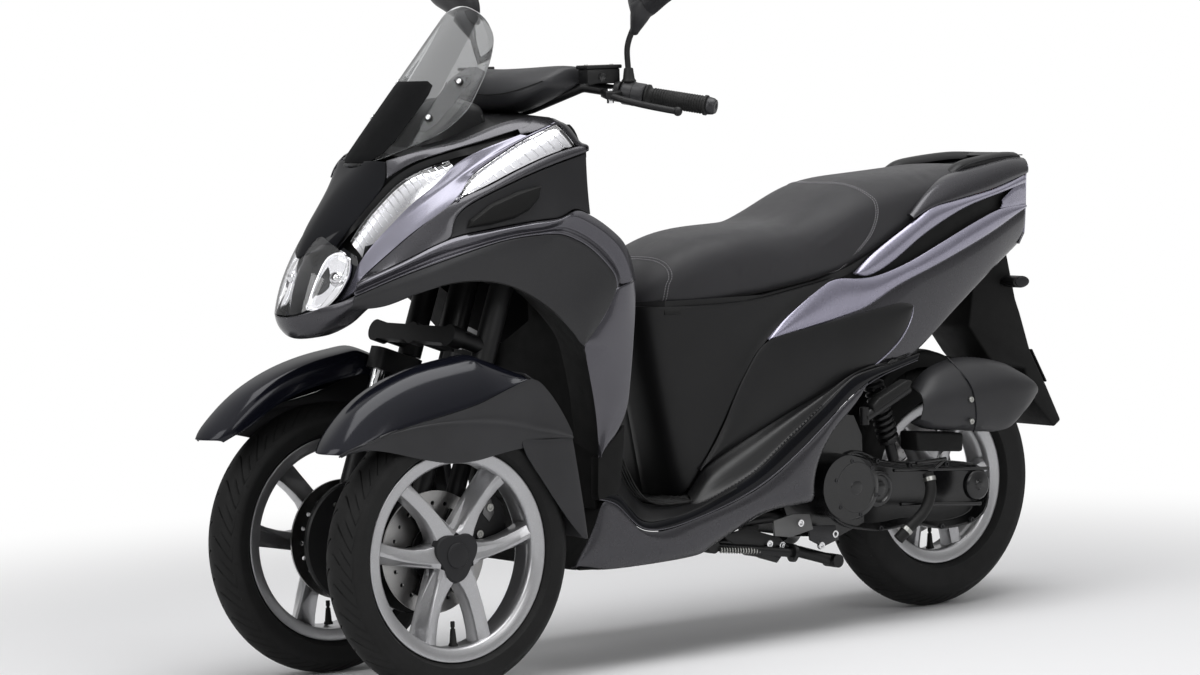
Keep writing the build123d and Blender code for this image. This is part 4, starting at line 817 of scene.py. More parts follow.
# %% [markdown]
# Wheels. The cast rim is one spun section; the bright flat lip in front is what catches the eye. The six
# spokes stand in three pairs, each pair a V whose point is at the hub. Every spoke is a short loft with a
# ridge along its inner edge, because a flat bar would lose the bright line that runs down the V.

# %% Rims, spokes, hub caps and valves
def wheel_spot(w, angle, radius, out):
    """A point on a wheel: angle from straight ahead, distance from the hub, and out from the middle."""
    a = math.radians(angle)
    x, y, z = w["hub"]
    return Vector((x + radius * math.cos(a), y + w["side"] * out, z + radius * math.sin(a)))


ARM_REACH = 164     # the reach that the numbers of ARM are for
ARM = [  # along the V's middle and across from it: inner edge, ridge, outer edge; then how far out each lies
    ((45, 0), (41, 0), (14, 36), -12, 27, 20), ((57, 8), (52, 14), (44, 46), -12, 26, 18),
    ((76, 24), (73, 34), (66, 58), -12, 25, 16), ((98, 43), (96, 55), (87, 77), -12, 24, 15),
    ((122, 64), (118, 79), (106, 98), -10, 25, 16), ((150, 88), (139, 104), (122, 120), -8, 28, 18)]


def spoke_arm(w, lean, toward, reach):
    """One arm of a V that points along lean; toward is +1 or -1 for its side of the V."""
    a, grow, wider = math.radians(lean), reach / ARM_REACH, w["rim"] / 2 - 33
    x, y, z = w["hub"]

    def spot(u, v, out):
        """A point u along the V's middle, v across from it and out from the wheel's middle."""
        u, v = (40 + (u - 40) * grow if u > 40 else u), v * grow
        return Vector((x + u * math.cos(a) - toward * v * math.sin(a), y + w["side"] * (out + wider),
                       z + u * math.sin(a) + toward * v * math.cos(a)))

    rows = []
    for (iu, iv), (ru, rv), (ou, ov), low, top, side in ARM:
        rows.append([spot(iu, iv, -16), spot(iu, iv, low), spot((iu + ru) / 2, (iv + rv) / 2, (low + top) / 2 - 1),
                     spot(ru, rv, top), spot((ru + ou) / 2, (rv + ov) / 2, (top + side) / 2 + 0.5),
                     spot(ou, ov, side), spot(ou, ov, -16)])
    bm = skin(rows, 13)
    fill_holes(bm)
    return bm


def make_rim(name, w):
    """A cast wheel: rim, three pairs of spokes and hub drum."""
    seat, half, inner = w["seat"], w["rim"] / 2, w["seat"] - 13
    lip = [(seat + 12.5, half - 1.5), (seat + 11.5, half + 0.4), (seat + 8, half), (inner + 5, half - 2.5),
           (inner + 1.5, half - 5), (inner - 1, half - 9), (inner - 2, half - 16), (inner + 3, half - 24),
           (inner + 4, 0), (inner + 4, -half + 14), (inner + 2, -half + 8), (inner + 4, -half + 3),
           (seat + 9, -half), (seat + 12, -half + 0.6), (seat + 12, -half + 3.5), (seat, -half + 7),
           (seat, half - 7), (seat + 12, half - 4.5), (seat + 12.5, half - 1.5)]
    back, front = (-40, 33) if name == "rear" else (-44, 19)
    drum = [(10.2, back), (36, back), (38, back + 4), (38, front - 7), (34, front - 2), (26, front), (10.2, front)]
    rim, hub = (spun_across([(r, w["side"] * a) for r, a in line], w["hub"], steps)
                for line, steps in ((lip, 160), (drum, 64)))
    arms = [spoke_arm(w, lean, toward, inner + 3) for lean in (90, 210, 330) for toward in (-1, 1)]
    body = join(rim, *arms, hub)
    for v in body.verts:                      # nothing of the wheel reaches past its lip
        if (v.co.y - w["hub"][1]) * w["side"] > half:
            v.co.y = w["hub"][1] + w["side"] * half
    piece("rim_" + name, body, WHEEL_SILVER, w["body"], "wheel_silver", [w["rim_node"]], rounding=1.6, sharp=32)


def make_hub_cap(name, w):
    """A cap with three soft corners and a round boss."""
    hub, side = Vector(w["hub"]), w["side"]
    cap = bmesh.new()
    bmesh.ops.create_circle(cap, cap_ends=True, segments=72, radius=1)
    for v in cap.verts:
        a = math.degrees(math.atan2(v.co.y, v.co.x))
        v.co = wheel_spot(w, a, 46 + 6 * math.cos(math.radians(3 * (a - 30))), 14)
    for g in bmesh.ops.extrude_face_region(cap, geom=cap.faces[:])["geom"]:
        if isinstance(g, bmesh.types.BMVert):
            out = g.co - hub
            g.co = hub + Vector((out.x * 0.9, side * 29, out.z * 0.9))
    boss = spun_across([(r, side * a) for r, a in ((0, 32.5), (20, 32.5), (23, 31.5), (24, 22))], hub, 48)
    piece("hub_cap_" + name, join(cap, boss), VENT_GREY, w["body"], rounding=2.2, sharp=30, segments=3)


VALVE = [(0.1, 44), (3.6, 44), (4.0, 42), (4.0, 34), (3.0, 33.4), (3.0, 31), (4.4, 30), (6.6, 6), (8.5, 3), (8.5, 0)]
for name, w in WHEELS.items():
    make_rim(name, w)
for name, w in WHEELS.items():
    if name != "rear":
        make_hub_cap(name, w)
    x, y, z = w["hub"]
    valve = spun(VALVE, (x, y + w["side"] * 6, z - w["seat"] + 14), (0, 0, 1), 20, start=(1, 0, 0))
    piece("valve_" + name, valve, GRIP_RUBBER, w["body"], sharp=40)
for node_name in ("front_disc_left", "front_disc_right", "rear_disc"):
    dress(node_name, DISC_STEEL)

# %% [markdown]
# Brakes and forks. The discs, the fork castings and the stanchions keep their CAD shapes. What they lack
# is the layer a mechanic would see: the dark carrier in the disc, the caliper's body with its bolts, the
# bright tubes and the domed cover on the inner side of each hub.

# %% Brake and fork details
CASTER = math.radians(20)


def steer(forward, along, y=0.0):
    """A point set out along the steering axis from the ground, and square ahead of it."""
    return Vector((FRONT_X + 68 - along * math.sin(CASTER) + forward * math.cos(CASTER), y,
                   along * math.cos(CASTER) + forward * math.sin(CASTER)))


def bolt_head(spot, way, radius=6.0, height=4.0):
    """A socket screw head standing on a surface."""
    spot, way = Vector(spot), Vector(way).normalized()
    bm = rod(spot, spot + way * height, radius, radius * 0.92, 20)
    bm.faces.ensure_lookup_table()
    top = max(bm.faces, key=lambda f: f.calc_center_median().dot(way) + len(f.verts))
    bmesh.ops.inset_individual(bm, faces=[top], thickness=radius * 0.45, depth=0)
    bmesh.ops.inset_individual(bm, faces=[top], thickness=0.2, depth=-height * 0.5)
    return bm


LEGS = (-14.4, 57.6)      # how far ahead of the steering axis the two fork legs of a side stand
CALIPER = [(-146, 282), (-141, 322), (-116, 352), (-84, 348), (-66, 316), (-58, 290), (-66, 262), (-104, 250),
           (-136, 256)]
SLIDE = [(-112, 336), (-100, 340), (-92, 312), (-106, 296), (-118, 312)]
DOME = [(113.5, 1), (113.5, -6), (111, -9.5), (92, -12.5), (70, -16.2), (66, -17), (40, -18.5), (16, -19), (1, -19)]
for side, sign in SIDES:
    knuckle = f"{side}_knuckle"
    dress(f"fork_lower_{side}", CAST_BLACK)
    dress(f"caliper_{side}", CAST_BLACK)
    y = sign * 115
    tubes = [rod(steer(a, 468, y), steer(a, 573, y), 13.35, sides=32) for a in LEGS]
    piece(f"stanchions_{side}", join(*tubes), CHROME, knuckle, "fork_steel", sharp=40)
    seals = [spun([(13.4, 0), (16.5, 0), (18.2, 2), (18.2, 10), (16.0, 13), (13.4, 14)], steer(a, 466, y),
                  steer(0, 1) - steer(0, 0), 32) for a in LEGS]
    piece(f"fork_seals_{side}", join(*seals), GRIP_RUBBER, knuckle, sharp=40)
    inner = y - sign * 18
    dome = spun_across([(r, sign * a) for r, a in DOME], (FRONT_X, inner, 250), 96)
    piece(f"hub_cover_{side}", dome, CAST_BLACK, knuckle, "black_casting", sharp=30)
    marks = [rod((FRONT_X + dx, inner - sign * 11.5, 250 + dz), (FRONT_X + dx, inner - sign * 15.5, 250 + dz), 4.6,
                 sides=20) for dx, dz in ((52, 72), (38, 80), (-70, -52))]
    piece(f"hub_cover_plugs_{side}", join(*marks), ZINC, knuckle, sharp=30)
    w = WHEELS[f"front_{side}"]
    arms = [plate([wheel_spot(w, a + d, r, -41.5) for d, r in ((-9, 38), (9, 38), (5, 84), (-5, 84))],
                  (0, sign * 2.5, 0)) for a in range(0, 360, 60)]
    ring = spun_across([(r, sign * -a) for r, a in ((36, 41.5), (36, 38), (52, 38), (52, 41.5), (36, 41.5))],
                       w["hub"], 64)
    heads = [bolt_head(wheel_spot(w, a, 44, -38), (0, sign, 0), 4.5, 3) for a in range(30, 390, 60)]
    piece(f"disc_carrier_{side}", join(ring, *arms, *heads), CAST_BLACK, w["body"], rounding=0.6)
    base = sign * 168.5
    bm = plate([(FRONT_X + dx, base - sign * 12, z) for dx, z in CALIPER], (0, sign * 14, 0))
    piece(f"caliper_body_{side}", bm, CAST_BLACK, knuckle, rounding=4, sharp=30, segments=3)
    heads = [bolt_head((FRONT_X - dx, base + sign * 2, dz), (0, sign, 0), 8, 4.5)
             for dx, dz in ((108, 322), (84, 276))]
    piece(f"caliper_bolts_{side}", join(*heads), ZINC, knuckle, rounding=0.5)
    slide = plate([(FRONT_X + dx, base + sign * 2, z) for dx, z in SLIDE], (0, sign * 1.8, 0))
    piece(f"caliper_plate_{side}", slide, CAST_ALLOY, knuckle, rounding=1)

# %% [markdown]
# Each front fender is two mouldings: a glossy upper shell with a hard ridge across its top, and a matte
# lower part that carries the long flap behind the tyre. They meet on one crease line. Every station along
# the fender gives that crease, the top and the lower edge, and two grids share them.

# %% Front fenders
STATIONS = [  # x, top, crease, soft line, lower edge, how far the station is from full width
    (948, 452, 449, 447, 445, 0.30), (938, 468, 455, 452, 448, 0.16), (918, 489, 461, 459, 452, 0.08),
    (880, 524, 470, 470, 454, 0.03), (830, 554, 482, 480, 447, 0.0), (770, 578, 494, 487, 431, 0.0),
    (710, 592, 504, 488, 418, 0.0), (662, 598, 513, 486, 416, 0.0), (640, 601, 518, 484, 417, 0.0),
    (628, 602, 522, 483, 419, 0.0), (616, 600, 526, 481, 421, 0.0), (590, 589, 535, 478, 425, 0.0),
    (560, 576, 545, 472, 429, 0.0), (534, 564, 553, 466, 431, 0.0)]
REAR_STATIONS = [(512, 551, 459, 433), (490, 531, 455, 434), (466, 501, 449, 436), (446, 468, 444, 438),
                 (436, 448, 442, 436)]
CROWN = [(534, 564), (512, 551), (490, 531), (466, 501), (446, 468), (436, 444), (430, 410), (422, 365), (413, 305),
         (408, 262), (407, 256)]
FLAP_TOP = 445      # below this height the crown is the back of the flap
FLAP = [(436, 442, 549), (432, 420, 543), (424, 372, 506), (414, 310, 464), (408, 262, 424), (407, 256, 414)]


def pinched(x, pinch, points):
    """One row of the fender at x, its widths drawn in towards the middle of the tyre."""
    return [(x - back, 194 + (y - 194) * (1 - pinch), z) for back, y, z in points]


def below(soft, low, dip):
    """The lower moulding under its soft line: the hollow above the line, the line and the edge."""
    return [(0, 249 - 6.5 * dip, soft + 7 * dip), (0, 251, soft + 0.5), (0, 250, (soft * 2 + low) / 3),
            (0, 243, low)]


def fender_pieces(side, sign):
    """The four mouldings of one front fender; the right one is the left one mirrored."""
    top_rows, low_rows = [], []
    for x, top, crease, soft, low, pinch in STATIONS:
        drop, back = top - crease, max(0.0, (x - 830) / 118)    # back rounds the tip, seen from above
        high = min(1.0, (top - low) / 70)                       # the tip is flatter too
        dip = min(1.0, (crease - soft) / 45)
        top_rows.append(pinched(x, pinch, [
            (3 + 26 * back, 137.5, top - 52 * high), (25 * back, 138.5, top - 22 * high),
            (17 * back, 148, top - 7 * high), (4 * back, 176, top - 0.5 * high), (0, 205, top),
            (7 * back, 226, top - 0.20 * drop - high), (15 * back, 241, top - 0.58 * drop),
            (22 * back, 250, crease)]))
        low_rows.append(pinched(x - 22 * back, pinch, [
            (0, 249.6, crease - 1.2), (0, 249 - 4 * dip, (crease + soft) / 2), *below(soft, low, dip)]))
    for x, top, soft, low in REAR_STATIONS:
        dip = min(1.0, (top - soft) / 45)
        low_rows.append(pinched(x, 0, [(0, 248, top), (0, 248.5 - 3.5 * dip, (top + soft) / 2),
                                       *below(soft, low, dip)]))
    rear = []
    for x, z in CROWN:
        inner = [(x + 26, 139, z), (x + 4, 141, z)] if z < FLAP_TOP else [(x + 6, 139, z - 26), (x + 4, 141, z - 6)]
        rear.append([*inner, (x, 160, z), (x - 1.5, 194, z + 1), (x, 232, z), (x + 2, 246, z - 1)])
    wing = [[(x + 1, 247.5, z), (x + (f - x) * 0.5, 250, z), (f, 246.5, z + 6 * (z > 430))] for x, z, f in FLAP]
    for name, bm, look, facing, smoothing, slot, stands_for in (
            ("shell", lofted(top_rows), NAVY, (0.2, sign * 0.4, 1), 2, "gloss_navy", [f"fender_{side}"]),
            ("lower", skin([list(line) for line in zip(*low_rows)], 34), TRIM_GREY, (0, sign, 0), 2,
             "dark_plastic", ()),
            ("back", skin(rear, 9), TRIM_GREY, (-1, 0, 0.3), 1, None, ()),
            ("flap", skin(wing, 5), TRIM_GREY, (0, sign, 0), 1, None, ())):
        piece(f"fender_{name}_{side}", bm if sign > 0 else mirror_side(bm), look, f"{side}_knuckle", slot,
              stands_for, wall=3, rounding=0.8, smoothing=smoothing, facing=facing)


for side, sign in SIDES:
    fender_pieces(side, sign)

# %% [markdown]
# The middle of the machine. The body under the seat, the black side panels and the floor are laid over
# lines that run the length of the machine, so that the skirt, its gloss trim and the floor share an edge
# and no gap can open between them.

# %% Body, side panels, floor and skirts
COLUMNS = [  # foot of the column, top of the column
    ((88, 0, 291), (158, 0, 652)), ((88, 60, 291), (157, 50, 652)), ((84, 92, 292), (150, 80, 651)),
    ((74, 112, 296), (130, 106, 650)), ((56, 129, 338), (70, 129, 648)), ((2, 138, 420), (-20, 142, 648)),
    ((-50, 144.5, 517), (-100, 150, 654)), ((-100, 149.5, 575), (-158, 155, 664)),
    ((-153, 154.5, 618), (-205, 158, 672)), ((-217, 158.5, 659), (-240, 160, 678)),
    ((-262, 161, 681), (-268, 161.5, 683))]
HOLLOW = 4      # how far the columns bend in halfway up; the first and the last ones stay straight
rows = []
for t in (0, 0.12, 0.3, 0.5, 0.7, 0.88, 1):
    rows.append([Vector(low).lerp(Vector(top), t) - Vector((0, HOLLOW * math.sin(math.pi * t) * (0 < i < 8), 0))
                 for i, (low, top) in enumerate(COLUMNS)])
piece("body_front", lofted(rows), BODY_BLACK, "chassis", "dark_plastic", ["centre_cover"], wall=3, rounding=1,
      smoothing=2, facing=(0.5, 1, 0), both_sides=True)

PANEL_TOP = [(56, 131, 342), (26, 137, 380), (-4, 142, 430), (-20, 145, 463), (-51, 148.5, 516),
             (-99, 153, 571), (-190, 161, 591), (-287, 166, 605), (-380, 166.5, 619), (-440, 164, 625),
             (-457, 163, 620)]
PANEL_LOW = [(56, 131, 340), (-33, 145, 385), (-156, 158, 439), (-284, 166, 487), (-342, 168, 505),
             (-372, 167.5, 518), (-404, 166.5, 537), (-440, 164.5, 567), (-459, 163, 598), (-460, 163, 612)]
piece("side_panel", skin(between(PANEL_TOP, PANEL_LOW, 9, 44, 5.5), 44), BODY_BLACK, "chassis", wall=3.5,
      rounding=1.6, smoothing=1, sharp=40, **PAIR)
LINING = between([(70, 108, 640), (0, 130, 640), (-100, 140, 646), (-240, 150, 668), (-330, 152, 680)],
                 [(60, 106, 300), (0, 126, 364), (-100, 138, 410), (-240, 150, 465), (-330, 152, 496)], 5, 24)
piece("body_lining", skin(LINING, 24), MATTE_BLACK, "chassis", wall=2, **PAIR)
# A thin silver tube along the side panel's rear edge: a painted highlight where the edge's bevel catches the light.
SIDE_PANEL_HIGHLIGHT_LINE = [(-461, 164, 617), (-461, 164, 600), (-441, 165.5, 566), (-405, 167.5, 535), (-343, 169, 503)]
piece("side_panel_edge_highlight", tube(SIDE_PANEL_HIGHLIGHT_LINE, 1.5, 8), SILVER_STRIP, "chassis", both_sides=True)

TRIM_LOW = [(-480, 151, 509), (-400, 167, 496), (-323, 184, 480), (-257, 191, 445), (-187, 193, 393),
            (-84, 196, 327), (0, 198, 291), (107, 202, 264), (189, 204, 248), (240, 206, 250), (270, 206, 265),
            (299, 205, 298), (318, 204, 312), (346, 200, 317)]
TRIM_TOP = [(-487, 149, 523), (-403, 163, 511), (-324, 180, 502), (-275, 187, 490), (-206, 190, 444),
            (-119, 193, 389), (-34, 196, 335), (49, 198, 302), (131, 200, 276), (212, 202, 264),
            (251, 202, 270), (277, 202, 296), (306, 201, 325), (345, 196, 330)]
SKIRT_LOW = [(-323, 184, 479), (-291, 189, 442), (-229, 192, 390), (-195, 193, 337), (-184, 194, 294),
             (-184, 194, 272), (-176, 194, 263), (-65, 196, 254), (19, 198, 225), (77, 200, 203),
             (110, 202, 191), (215, 204, 186), (330, 201, 186), (392, 186, 194)]
SKIRT_TOP = [(-323, 184, 480), (-257, 191, 444), (-187, 193, 392), (-84, 196, 326), (0, 198, 290),
             (107, 202, 263), (189, 204, 247), (240, 206, 249), (270, 206, 264), (299, 205, 297),
             (318, 203, 311), (334, 198, 312), (356, 194, 262), (392, 186, 204)]
top, low = even(SKIRT_TOP, 64), even(SKIRT_LOW, 64)
rows = []
for t, out in ((0, 0), (0.08, 2.5), (0.35, 4.5), (0.7, 2), (0.88, -3), (1, -13)):
    rows.append([a.lerp(b, t) + Vector((0, out * min(1, i / 12), 0)) for i, (a, b) in enumerate(zip(top, low))])
piece("skirt", lofted(rows), GUNMETAL, "chassis", "skirt_grey", ["side_skirts"], wall=3, rounding=1.2,
      smoothing=1, sharp=40, **PAIR)
trim = swept(even(TRIM_LOW, 70), even(TRIM_TOP, 70), ((0, 0, 0), (0.25, 2.5, 0), (0.7, 2.2, 0), (1, 0, 0)))
piece("skirt_trim", lofted(trim), GLOSS_BLACK, "chassis", "gloss_black", wall=2.5, rounding=0.8, smoothing=1,
      **PAIR)
# A thin tube of the lighter gunmetal along the trim's lower edge: a painted highlight line.
piece("skirt_highlight_line", tube(moved(TRIM_LOW, (0, 1.2, 0.3)), 1.3, 8), GUNMETAL_HIGHLIGHT, "chassis", both_sides=True)
BELLY_NOSE = [[(334, 196, 311), (356, 192, 262), (391, 184, 200), (392, 183, 192)],
              [(330, 150, 304), (350, 150, 256), (384, 150, 200), (386, 150, 190)],
              [(330, 0, 300), (350, 0, 254), (384, 0, 200), (386, 0, 190)]]
piece("belly_front", skin(BELLY_NOSE, 8), MATTE_BLACK, "chassis", wall=3, facing=(1, 0, 0), both_sides=True)
under = [[(386, y, 191), (330, y, 188), (215, y, 188), (112, y, 193)] for y in (-190, -120, 0, 120, 190)]
piece("belly_pan", skin(under, 10), MATTE_BLACK, "chassis", wall=3, facing=(0, 0, -1))

# %% [markdown]
# The floor runs from the trim across to the other side, and behind the rider's feet each side of it rises
# to meet the side panel. Fine ribs and a row of studs give it the look of a rubber mat.

# %% Floor, ribs and studs
BAND_LOW = [(-470, 148, 529), (-403, 161, 507), (-342, 164, 505), (-284, 162.5, 487), (-156, 155, 439),
            (-33, 142, 386), (40, 133, 348), (64, 126, 316), (74, 118, 298)]
RISE_SHAPE = [(t, lift * 0.7, lift) for t, lift in
              ((0, 0), (0.06, -3.5), (0.18, -4), (0.42, 4), (0.6, 7), (0.8, 1), (1, 0))]
rise = swept(even(TRIM_TOP[:9], 50), even(BAND_LOW, 50), RISE_SHAPE)
piece("side_rise", lofted(rise), SATIN_BLACK, "chassis", facing=(0, 0.6, 1), both_sides=True, **SHEET)
FLOOR_LINE = [(24, 293), (60, 291), (110, 287), (170, 288), (206, 298), (230, 318), (250, 350), (284, 420),
              (296, 452)]      # x, z along the middle
edge = even([(24, 198, 311), (60, 198, 299), (131, 200, 277), (212, 202, 265), (251, 202, 271), (277, 202, 297),
             (306, 201, 326), (318, 198, 372), (326, 192, 420)], 26)
middle = even([(x, 0, z) for x, z in FLOOR_LINE], 26)
rows = []
for t, y in ((0, 202), (0.03, 196), (0.07, 184), (0.2, 160), (0.5, 100), (1, 0)):
    share = min(1, t * 5)       # level from a fifth of the way to the middle
    rows.append([Vector((e.x + (m.x - e.x) * share, y, e.z + (m.z - e.z) * share)) for e, m in zip(edge, middle)])
piece("floor_skin", lofted(rows), SATIN_BLACK, "chassis", "dark_plastic", ["footboard"], wall=3, smoothing=1,
      facing=(0, 0, 1), both_sides=True)
mat_line = even([(x, 0, z + 1.2) for x, z in FLOOR_LINE[:-1]], 30)
ribs = [rod((a.x, y, a.z), (b.x, y, b.z), 2.2, sides=6) for y in range(62, 171, 9)
        for a, b in zip(mat_line[1:], mat_line[2:])]
piece("floor_ribs", join(*ribs), GRIP_RUBBER, "chassis", "grip_rubber", both_sides=True, sharp=60)
studs = [rod(p, p + Vector((0, 0.6, 1.8)), 1.7, 1.2, 8) for p in even(moved(TRIM_TOP[4:13], (0, -7, 0.8)), 66)]
piece("floor_studs", join(*studs), TRIM_GREY, "chassis", both_sides=True, sharp=60)

# %% [markdown]
# The tail. Two silver blades run back and up from the seat and close on the tail lamp, with a dark recess
# between them. They are laid on a black core, a little inside, so the recess and every seam look deep
# without cutting anything.

# %% Rear covers, blades, grab rail and tail lamp
BLADE_TOP = [(-103, 150.5, 577), (-153, 154.5, 617), (-217, 158.5, 658), (-265, 161.5, 680), (-322, 164.5, 678),
             (-373, 163, 681), (-453, 161, 701), (-546, 155, 734), (-645, 143, 768), (-736, 124, 791),
             (-827, 96, 796)]
BLADE_LOW = [(-103, 150.5, 575), (-207, 158.5, 592), (-287, 162.5, 609), (-345, 164.5, 624), (-426, 161, 658),
             (-544, 156, 696), (-700, 132, 745), (-827, 96, 788)]
COVER_LOW = [(-250, 160, 474), (-342, 163, 503), (-403, 162, 502), (-474, 159, 526), (-590, 149, 602),
             (-709, 129, 672), (-802, 103, 716), (-822, 96, 730)]
UPPER_TOP = [(-314, 164, 689), (-375, 163, 728), (-482, 159.5, 783), (-529, 156.5, 805), (-598, 148.5, 816),
             (-703, 130.5, 830), (-787, 108.5, 846), (-830, 94, 856)]
UPPER_LOW = [(-314, 164, 688), (-348, 164, 682), (-409, 163, 704), (-499, 158.5, 753), (-577, 151.5, 785),
             (-637, 144.5, 804), (-737, 123.5, 822), (-830, 94, 836)]


def swelled(top, low, out, profile):
    """A sheet from one line to another, both moved out; the profile gives shares and swell."""
    lines = [even(moved(line, (0, by, 0)), 44) for line, by in zip((top, low), out)]
    return lofted(swept(*lines, [(t, swell, 0) for t, swell in profile]))


cover = swelled(BLADE_LOW[1:], COVER_LOW, (-0.5, 0),
                ((0, 0), (0.1, 1.6), (0.35, 2.6), (0.65, 1.2), (0.9, -2), (1, -6)))
piece("rear_cover", cover, GUNMETAL, "chassis", "gunmetal", ["side_covers", "tail_cover"], wall=3,
      rounding=1, smoothing=1, **PAIR)
blade = swelled(BLADE_TOP, BLADE_LOW, (2.5, 2.5), ((0, -3), (0.1, 0.5), (0.4, 4), (0.75, 3.2), (0.9, 1.5), (1, -2.5)))
piece("blade_low", blade, SILVER_STRIP, "chassis", **SHEET, **PAIR)
blade = swelled(UPPER_TOP, UPPER_LOW, (1.5, 1.5), ((0, -7), (0.14, -1), (0.45, 2.5), (0.8, 1.5), (1, -2.5)))
piece("blade_high", blade, SILVER_STRIP, "chassis", **SHEET, **PAIR)
tail_patch = [[(-742, 122.5, 809), (-790, 109, 832), (-830, 95, 838)],
              [(-745, 122, 800), (-790, 109, 812), (-831, 95, 815)],
              [(-735, 123.5, 792), (-780, 112, 794), (-831, 94, 794)]]
piece("blade_end", skin(tail_patch, 10), SILVER_STRIP, "chassis", **SHEET, **PAIR)
core_top = moved([(-240, 158, 676)] + UPPER_TOP[1:], (0, -9, -2))
core_low = moved(COVER_LOW, (0, -8, 6))
piece("tail_core", skin(between(core_top, core_low, 5, 40), 40), MATTE_BLACK, "chassis", wall=2, **PAIR)

# %% [markdown]
# Above the upper blade the side of the tail turns in to the top deck, and the grab rail stands on it. An
# under deck and the panels around the lamp close the tail from below and behind.

# %% Tail side, rail, decks and lamp
side_low = even([(-474, 157, 785), (-529, 153, 806), (-598, 146, 817), (-703, 128, 831), (-787, 107, 847),
                 (-846, 88, 858)], 30)
side_top = even([(-470, 152, 792), (-529, 140, 832), (-598, 132, 858), (-703, 118, 874), (-787, 98, 884),
                 (-852, 76, 884)], 30)
side_in = even([(-470, 140, 792), (-540, 118, 840), (-610, 108, 866), (-703, 98, 880), (-787, 80, 890),
                (-846, 60, 888)], 30)
side_rows = (swept(side_low, side_top, ((0, 0, 0), (0.35, 4, 0), (0.85, 2, 0)))
             + swept(side_top, side_in, ((0.25, 0, 3), (1, 0, 0))))
piece("tail_side", lofted(side_rows), GUNMETAL, "chassis", wall=3, rounding=1, smoothing=1,
      facing=(0, 1, 0.5), both_sides=True)
rail_top = [(-622, 98, 874), (-650, 98, 889), (-700, 94, 897), (-780, 80, 903), (-832, 60, 901)]
rail_out = [(-622, 109, 864), (-650, 110, 880), (-700, 106, 888), (-780, 92, 895), (-845, 70, 892)]
rail_low = [(-630, 106, 864), (-655, 106, 870), (-700, 101, 872), (-780, 88, 878), (-850, 66, 874)]
rail = skin([rail_low, rail_out, rail_top, moved(rail_top, (0, -16, -3)), moved(rail_top, (0, -22, -16))], 24)
piece("rail_side", rail, SATIN_BLACK, "chassis", "dark_plastic", ["grab_rail"], wall=3, rounding=1.5,
      smoothing=1, facing=(0, 1, 1), both_sides=True)


def bridged(stations, shares, columns):
    """A sheet across the machine over stations of x, half width and height."""
    return skin([[(x, w * share, z) for share in shares] for x, w, z in stations], columns)


back = bridged(((-800, 44, 894), (-832, 60, 902), (-846, 70, 892), (-851, 66, 874)), (-1, -0.6, 0, 0.6, 1), 18)
piece("rail_back", back, SATIN_BLACK, "chassis", wall=3, rounding=1.5, smoothing=1, facing=(-1, 0, 1))
piece("rail_line", tube(moved(rail_out, (0, 2.2, 1)), 1.2, 6), VENT_GREY, "chassis", both_sides=True)
deck = bridged(((-600, 112, 858), (-700, 100, 872), (-780, 84, 880), (-840, 62, 880)), (-1, -0.5, 0, 0.5, 1), 14)
piece("tail_deck", deck, MATTE_BLACK, "chassis", wall=3, facing=(0, 0, 1))
low_deck = [[(x, 9 - w, z + 2), (x, 22 - w, z + 8), (x, 0, z + 8), (x, w - 22, z + 8), (x, w - 9, z + 2)]
            for x, w, z in COVER_LOW[3:]]
piece("tail_under", skin(low_deck, 16), MATTE_BLACK, "chassis", wall=3, facing=(0, 0, -1))
end = [[(-803, 103, 717), (-812, 92, 716), (-816, 60, 716), (-817, 0, 716)],
       [(-824, 97, 738), (-829, 88, 738), (-830, 70, 738), (-831, 0, 738)]]
piece("tail_chin", skin(end, 14), GUNMETAL, "chassis", facing=(-1, 0, 0), both_sides=True, **SHEET)
# The corner beside the tail lens is silver: a painted highlight along the lamp's edge.
corner = [[(-824, 97, 738), (-829, 88, 738), (-830, 72, 738)], [(-832, 95, 790), (-838, 86, 790), (-839, 72, 790)],
          [(-836, 92, 858), (-842, 82, 858), (-842, 70, 858)], [(-848, 86, 872), (-850, 76, 872), (-850, 62, 872)]]
piece("tail_corner_highlight", skin(corner, 8), SILVER_STRIP, "chassis", facing=(-1, 0.4, 0), both_sides=True, **SHEET)
lens = [[(-830 - d, y, z) for y, d in ((72, 0), (60, 5), (30, 8), (0, 9), (-30, 8), (-60, 5), (-72, 0))]
        for z in (738, 765, 800, 835, 858)]
piece("tail_lens", skin(lens, 20), RED_LENS, "chassis", "red_lens", ["tail_lamp"], wall=3, rounding=1,
      smoothing=1, facing=(-1, 0, 0))
bars = [plate([(-826, y - 30, z), (-826, y + 30, z), (-826, y + 30, z + 5), (-826, y - 30, z + 5)], (-2, 0, 0))
        for y in (-33, 33) for z in range(748, 850, 12)]
piece("tail_reflector", join(*bars), BOWL, "chassis")

# %% [markdown]
# The flap under the tail carries the plate, with a small lamp above it and a reflector on a stub at each
# side.

# %% Plate flap
flap_side = [(-716, 668), (-800, 712), (-806, 690), (-826, 604), (-838, 574), (-863, 499), (-907, 422), (-945, 350),
             (-925, 337), (-862, 404), (-848, 462), (-814, 471), (-762, 477), (-742, 498), (-696, 556)]
piece("plate_flap", plate([(x, -66, z) for x, z in flap_side], (0, 132, 0)), MATTE_BLACK, "chassis",
      "dark_plastic", ["rear_fender"], rounding=5, segments=3)
for name, start, end, radius, look, rounding in (("flap_stubs", 66, 104, 15, SATIN_BLACK, 2),
                                                 ("stub_reflectors", 102, 107, 12, VENT_GREY, 1.5)):
    oval = rod((-806, start, 641), (-806, end, 641), radius, sides=24)
    bmesh.ops.scale(oval, vec=(1.5, 1, 0.8), verts=oval.verts, space=Matrix.Translation((806, 0, -641)))
    piece(name, oval, look, "chassis", rounding=rounding, both_sides=True)
plate_face = plate([(-869, -62, 498), (-869, 62, 498), (-908, 62, 430), (-908, -62, 430)], (-3, 0, 2))
